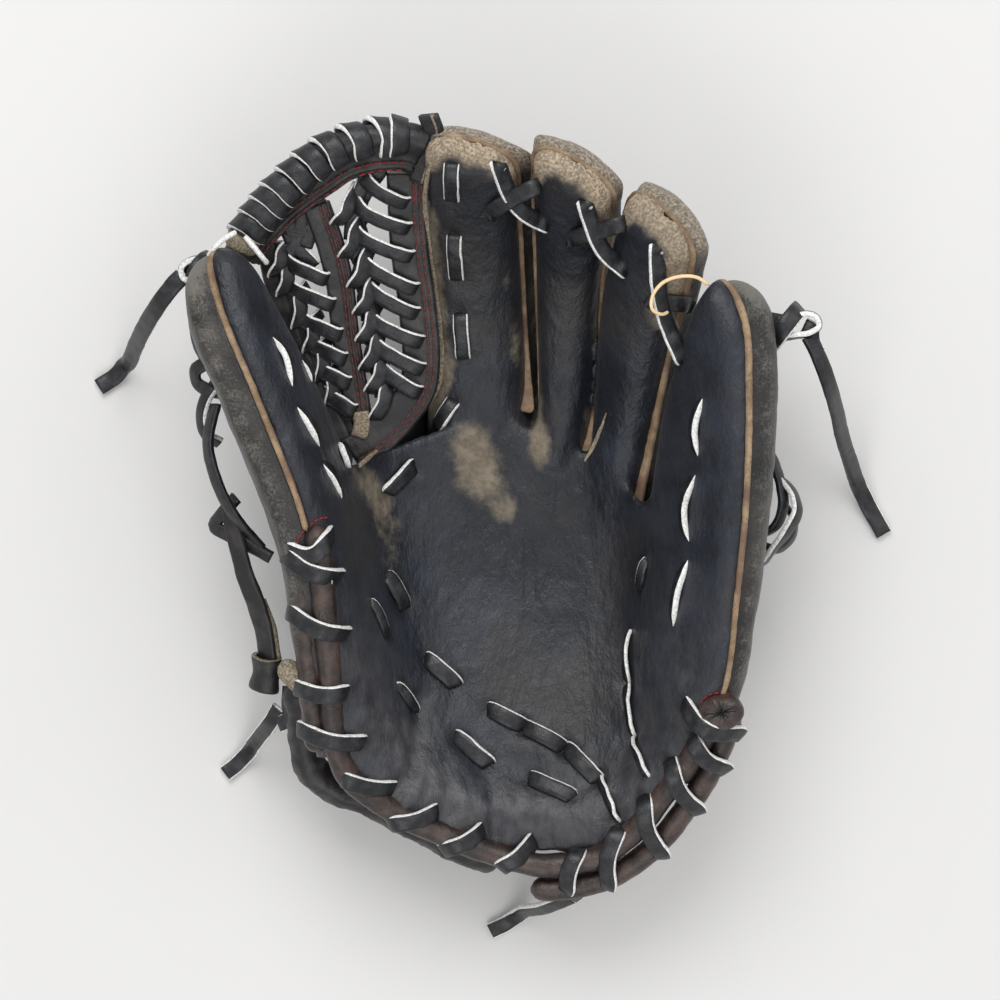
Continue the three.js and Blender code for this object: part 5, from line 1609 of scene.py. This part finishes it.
def softened(name, nodes, body, slot, material, voxel, rounds, lump=0.3):
    """A soft piece in the place of CAD solids: one rounded skin with a slightly uneven surface."""
    parts = []
    for node in nodes:
        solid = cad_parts[node]
        place = np.array(solid.matrix_world)
        p, _ = read(solid)
        p = (p * MM) @ place[:3, :3].T + place[:3, 3]
        parts.append((p / MM, [tuple(f.vertices) for f in solid.data.polygons]))
    obj = gather(name, parts, material)
    remeshed(obj, voxel, rounds)
    p, n = read(obj)
    write(obj, p + n * (lump * noise(p, 9.0, 111) + 0.3 * lump * noise(p, 3.0, 112))[:, None])
    placed(obj, body, slot, *nodes)
    return obj


BACK_ROWS = [
    [(-34, 34, 45), (-27, 40, 32), (-17, 47, 15.5), (-2, 49, 11), (12, 47, 14), (20, 44, 18), (28, 44, 14.5),
     (36, 41.5, 12.5),
     (43.5, 37, 17), (54, 27, 24.5), (63, 21.5, 26.5), (71, 10, 42), (78, 4, 54)],
    [(-37, 16, 43.5), (-30, 22, 29), (-19, 29, 8.5), (-2, 31.5, 3.2), (13, 30, 6), (20, 28, 8.5),
     (29, 26.5, 7.2), (37, 24.5, 7),
     (44, 17, 12.5), (52, 8.5, 18.6), (61, 4, 20), (69, -3, 33), (79, -8, 46)],
    [(-42, -2, 42), (-33, 0, 26), (-21, 6, 8), (-2, 10, 2.4), (12, 10, 2.4), (20, 9, 2.4), (28, 8.5, 2.4), (37, 7, 3),
     (46, 2, 7), (55, -3, 13), (64, -7, 21), (73, -13, 32), (81, -18, 44)],
    [(-50, -38, 40), (-40, -37, 25), (-27, -30, 10), (-8, -20, 3.4), (10, -16, 2.4), (20, -15.5, 2.4),
     (30, -16, 2.6), (40, -19, 3.6),
     (50, -26, 8), (60, -36, 15.6), (68, -42, 23.5), (75, -46, 33), (81, -48, 43)],
]


def back_shell():
    """The back of the hand: one sheet from under the stalls to the open back's bound edge."""
    u, v = np.linspace(0, 1, 110), np.linspace(0, 1, 56)
    rows = np.stack([spline(row, u) for row in BACK_ROWS])
    outer = spline(rows.reshape(len(rows), -1), v).reshape(len(v), len(u), 3)
    up = unit(np.cross(np.gradient(outer, axis=1), np.gradient(outer, axis=0)))
    up = up * np.sign(up[len(v) // 2, len(u) // 2, 2])
    flat = outer.reshape(-1, 3)
    lumps = 0.5 * noise(flat, 15.0, 151) + 0.2 * noise(flat, 4.0, 152)
    outer = outer - up * np.clip(lumps, -0.3, 1).reshape(outer.shape[:2])[..., None]
    points, faces = sheet_parts(outer, outer + up * LEATHER)
    obj = make("knuckle_panel", points, faces.tolist(), BACK)
    paint(obj, "wear", np.full(len(points), 0.4))
    placed(obj, "fold", "shell_leather", "back_panel")
    edge = outer[-1] + up[-1] * LEATHER / 2
    lay("open_back_binding", tube_parts(edge[2:-2], 2.1, sides=16, seed=153, lumps=0.2), BINDING, "fold",
        "binding_leather")


def inside_pieces():
    """Pads, linings, finger loops, wrist band and the back of the hand."""
    softened("palm_pad", ["palm_felt_pad"], "hand_side", "felt", FELT, 1.3, 3)
    softened("pinky_pad", ["pinky_heel_pad"], "hand_side", "felt", FELT, 1.2, 3)
    softened("thumb_pad", ["thumb_heel_pad"], "thumb_side", "felt", FELT, 1.2, 3)
    softened("hand_lining", ["palm_lining"], "hand_side", "lining_leather", LINING, 1.0, 2, 0.15)
    softened("thumb_hand_lining", ["thumb_lining"], "thumb_side", "lining_leather", LINING, 1.0, 2, 0.15)
    softened("wrist_band", ["wrist_strap", "wrist_strap_thumb"], "fold", "shell_leather", WEB, 1.4, 3)
    softened("wrist_fleece", ["strap_fleece"], "hand_side", "felt", FLEECE, 1.3, 2, 0.5)
    back_shell()
    softened("pinky_finger_loop", ["pinky_loop"], "hand_side", "lining_leather", LINING, 0.9, 2, 0.12)
    softened("thumb_finger_loop", ["thumb_loop"], "thumb_side", "lining_leather", LINING, 0.9, 2, 0.12)


# --- Build --------------------------------------------------------------------------------------

palm = palm_piece()
backs = {name: back_piece(name, "thumb_side" if name == "thumb" else "hand_side") for name in STALLS}
welt_piece("thumb", 0.40, 0.5, "thumb_side")
welt_piece("index", 0.07, 0.93, "hand_side", (13, 0))
welt_piece("middle", 0.0, 0.09, "hand_side", (12, 13))
welt_piece("ring", 0.0, 0.1, "hand_side", (5.5, 10))
welt_piece("pinky", 0.15, 0.5, "hand_side")
rolls = [
    binding_piece("palm_binding", THUMB_EDGE[:-1] + HEEL_LEFT + HEEL_RIGHT, "fold",
                  ["thumb_binding", "heel_binding"]),
    binding_piece("thumb_wrist_binding", THUMB_BACK_EDGE, "thumb_side", ["thumb_back_binding"], seam=2.4),
    binding_piece("pinky_wrist_binding", PINKY_BACK_EDGE, "hand_side", ["pinky_back_binding"], seam=2.4),
]
crown_piece()
crown_winding()
web_strips()
web_ladders()
palm_laces(palm)
palm_raw_edge(palm)
binding_bands(palm, *rolls)
fingertip_laces(palm)
knots_and_loops()
strap_end()
roll_ends(palm, backs)
inside_pieces()

for node_name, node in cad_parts.items():
    if node.hide_render:
        continue
    if "lace" in node_name or "knot" in node_name or "ladder" in node_name or "winding" in node_name:
        chosen = LACE[0]
    elif "felt" in node_name or "heel_pad" in node_name:
        chosen = FELT
    elif "lining" in node_name:
        chosen = LINING
    elif "fleece" in node_name:
        chosen = FLEECE
    elif "stiffener" in node_name:
        chosen = STIFFENER
    else:
        chosen = WEB
    node.data.materials.clear()
    node.data.materials.append(chosen)
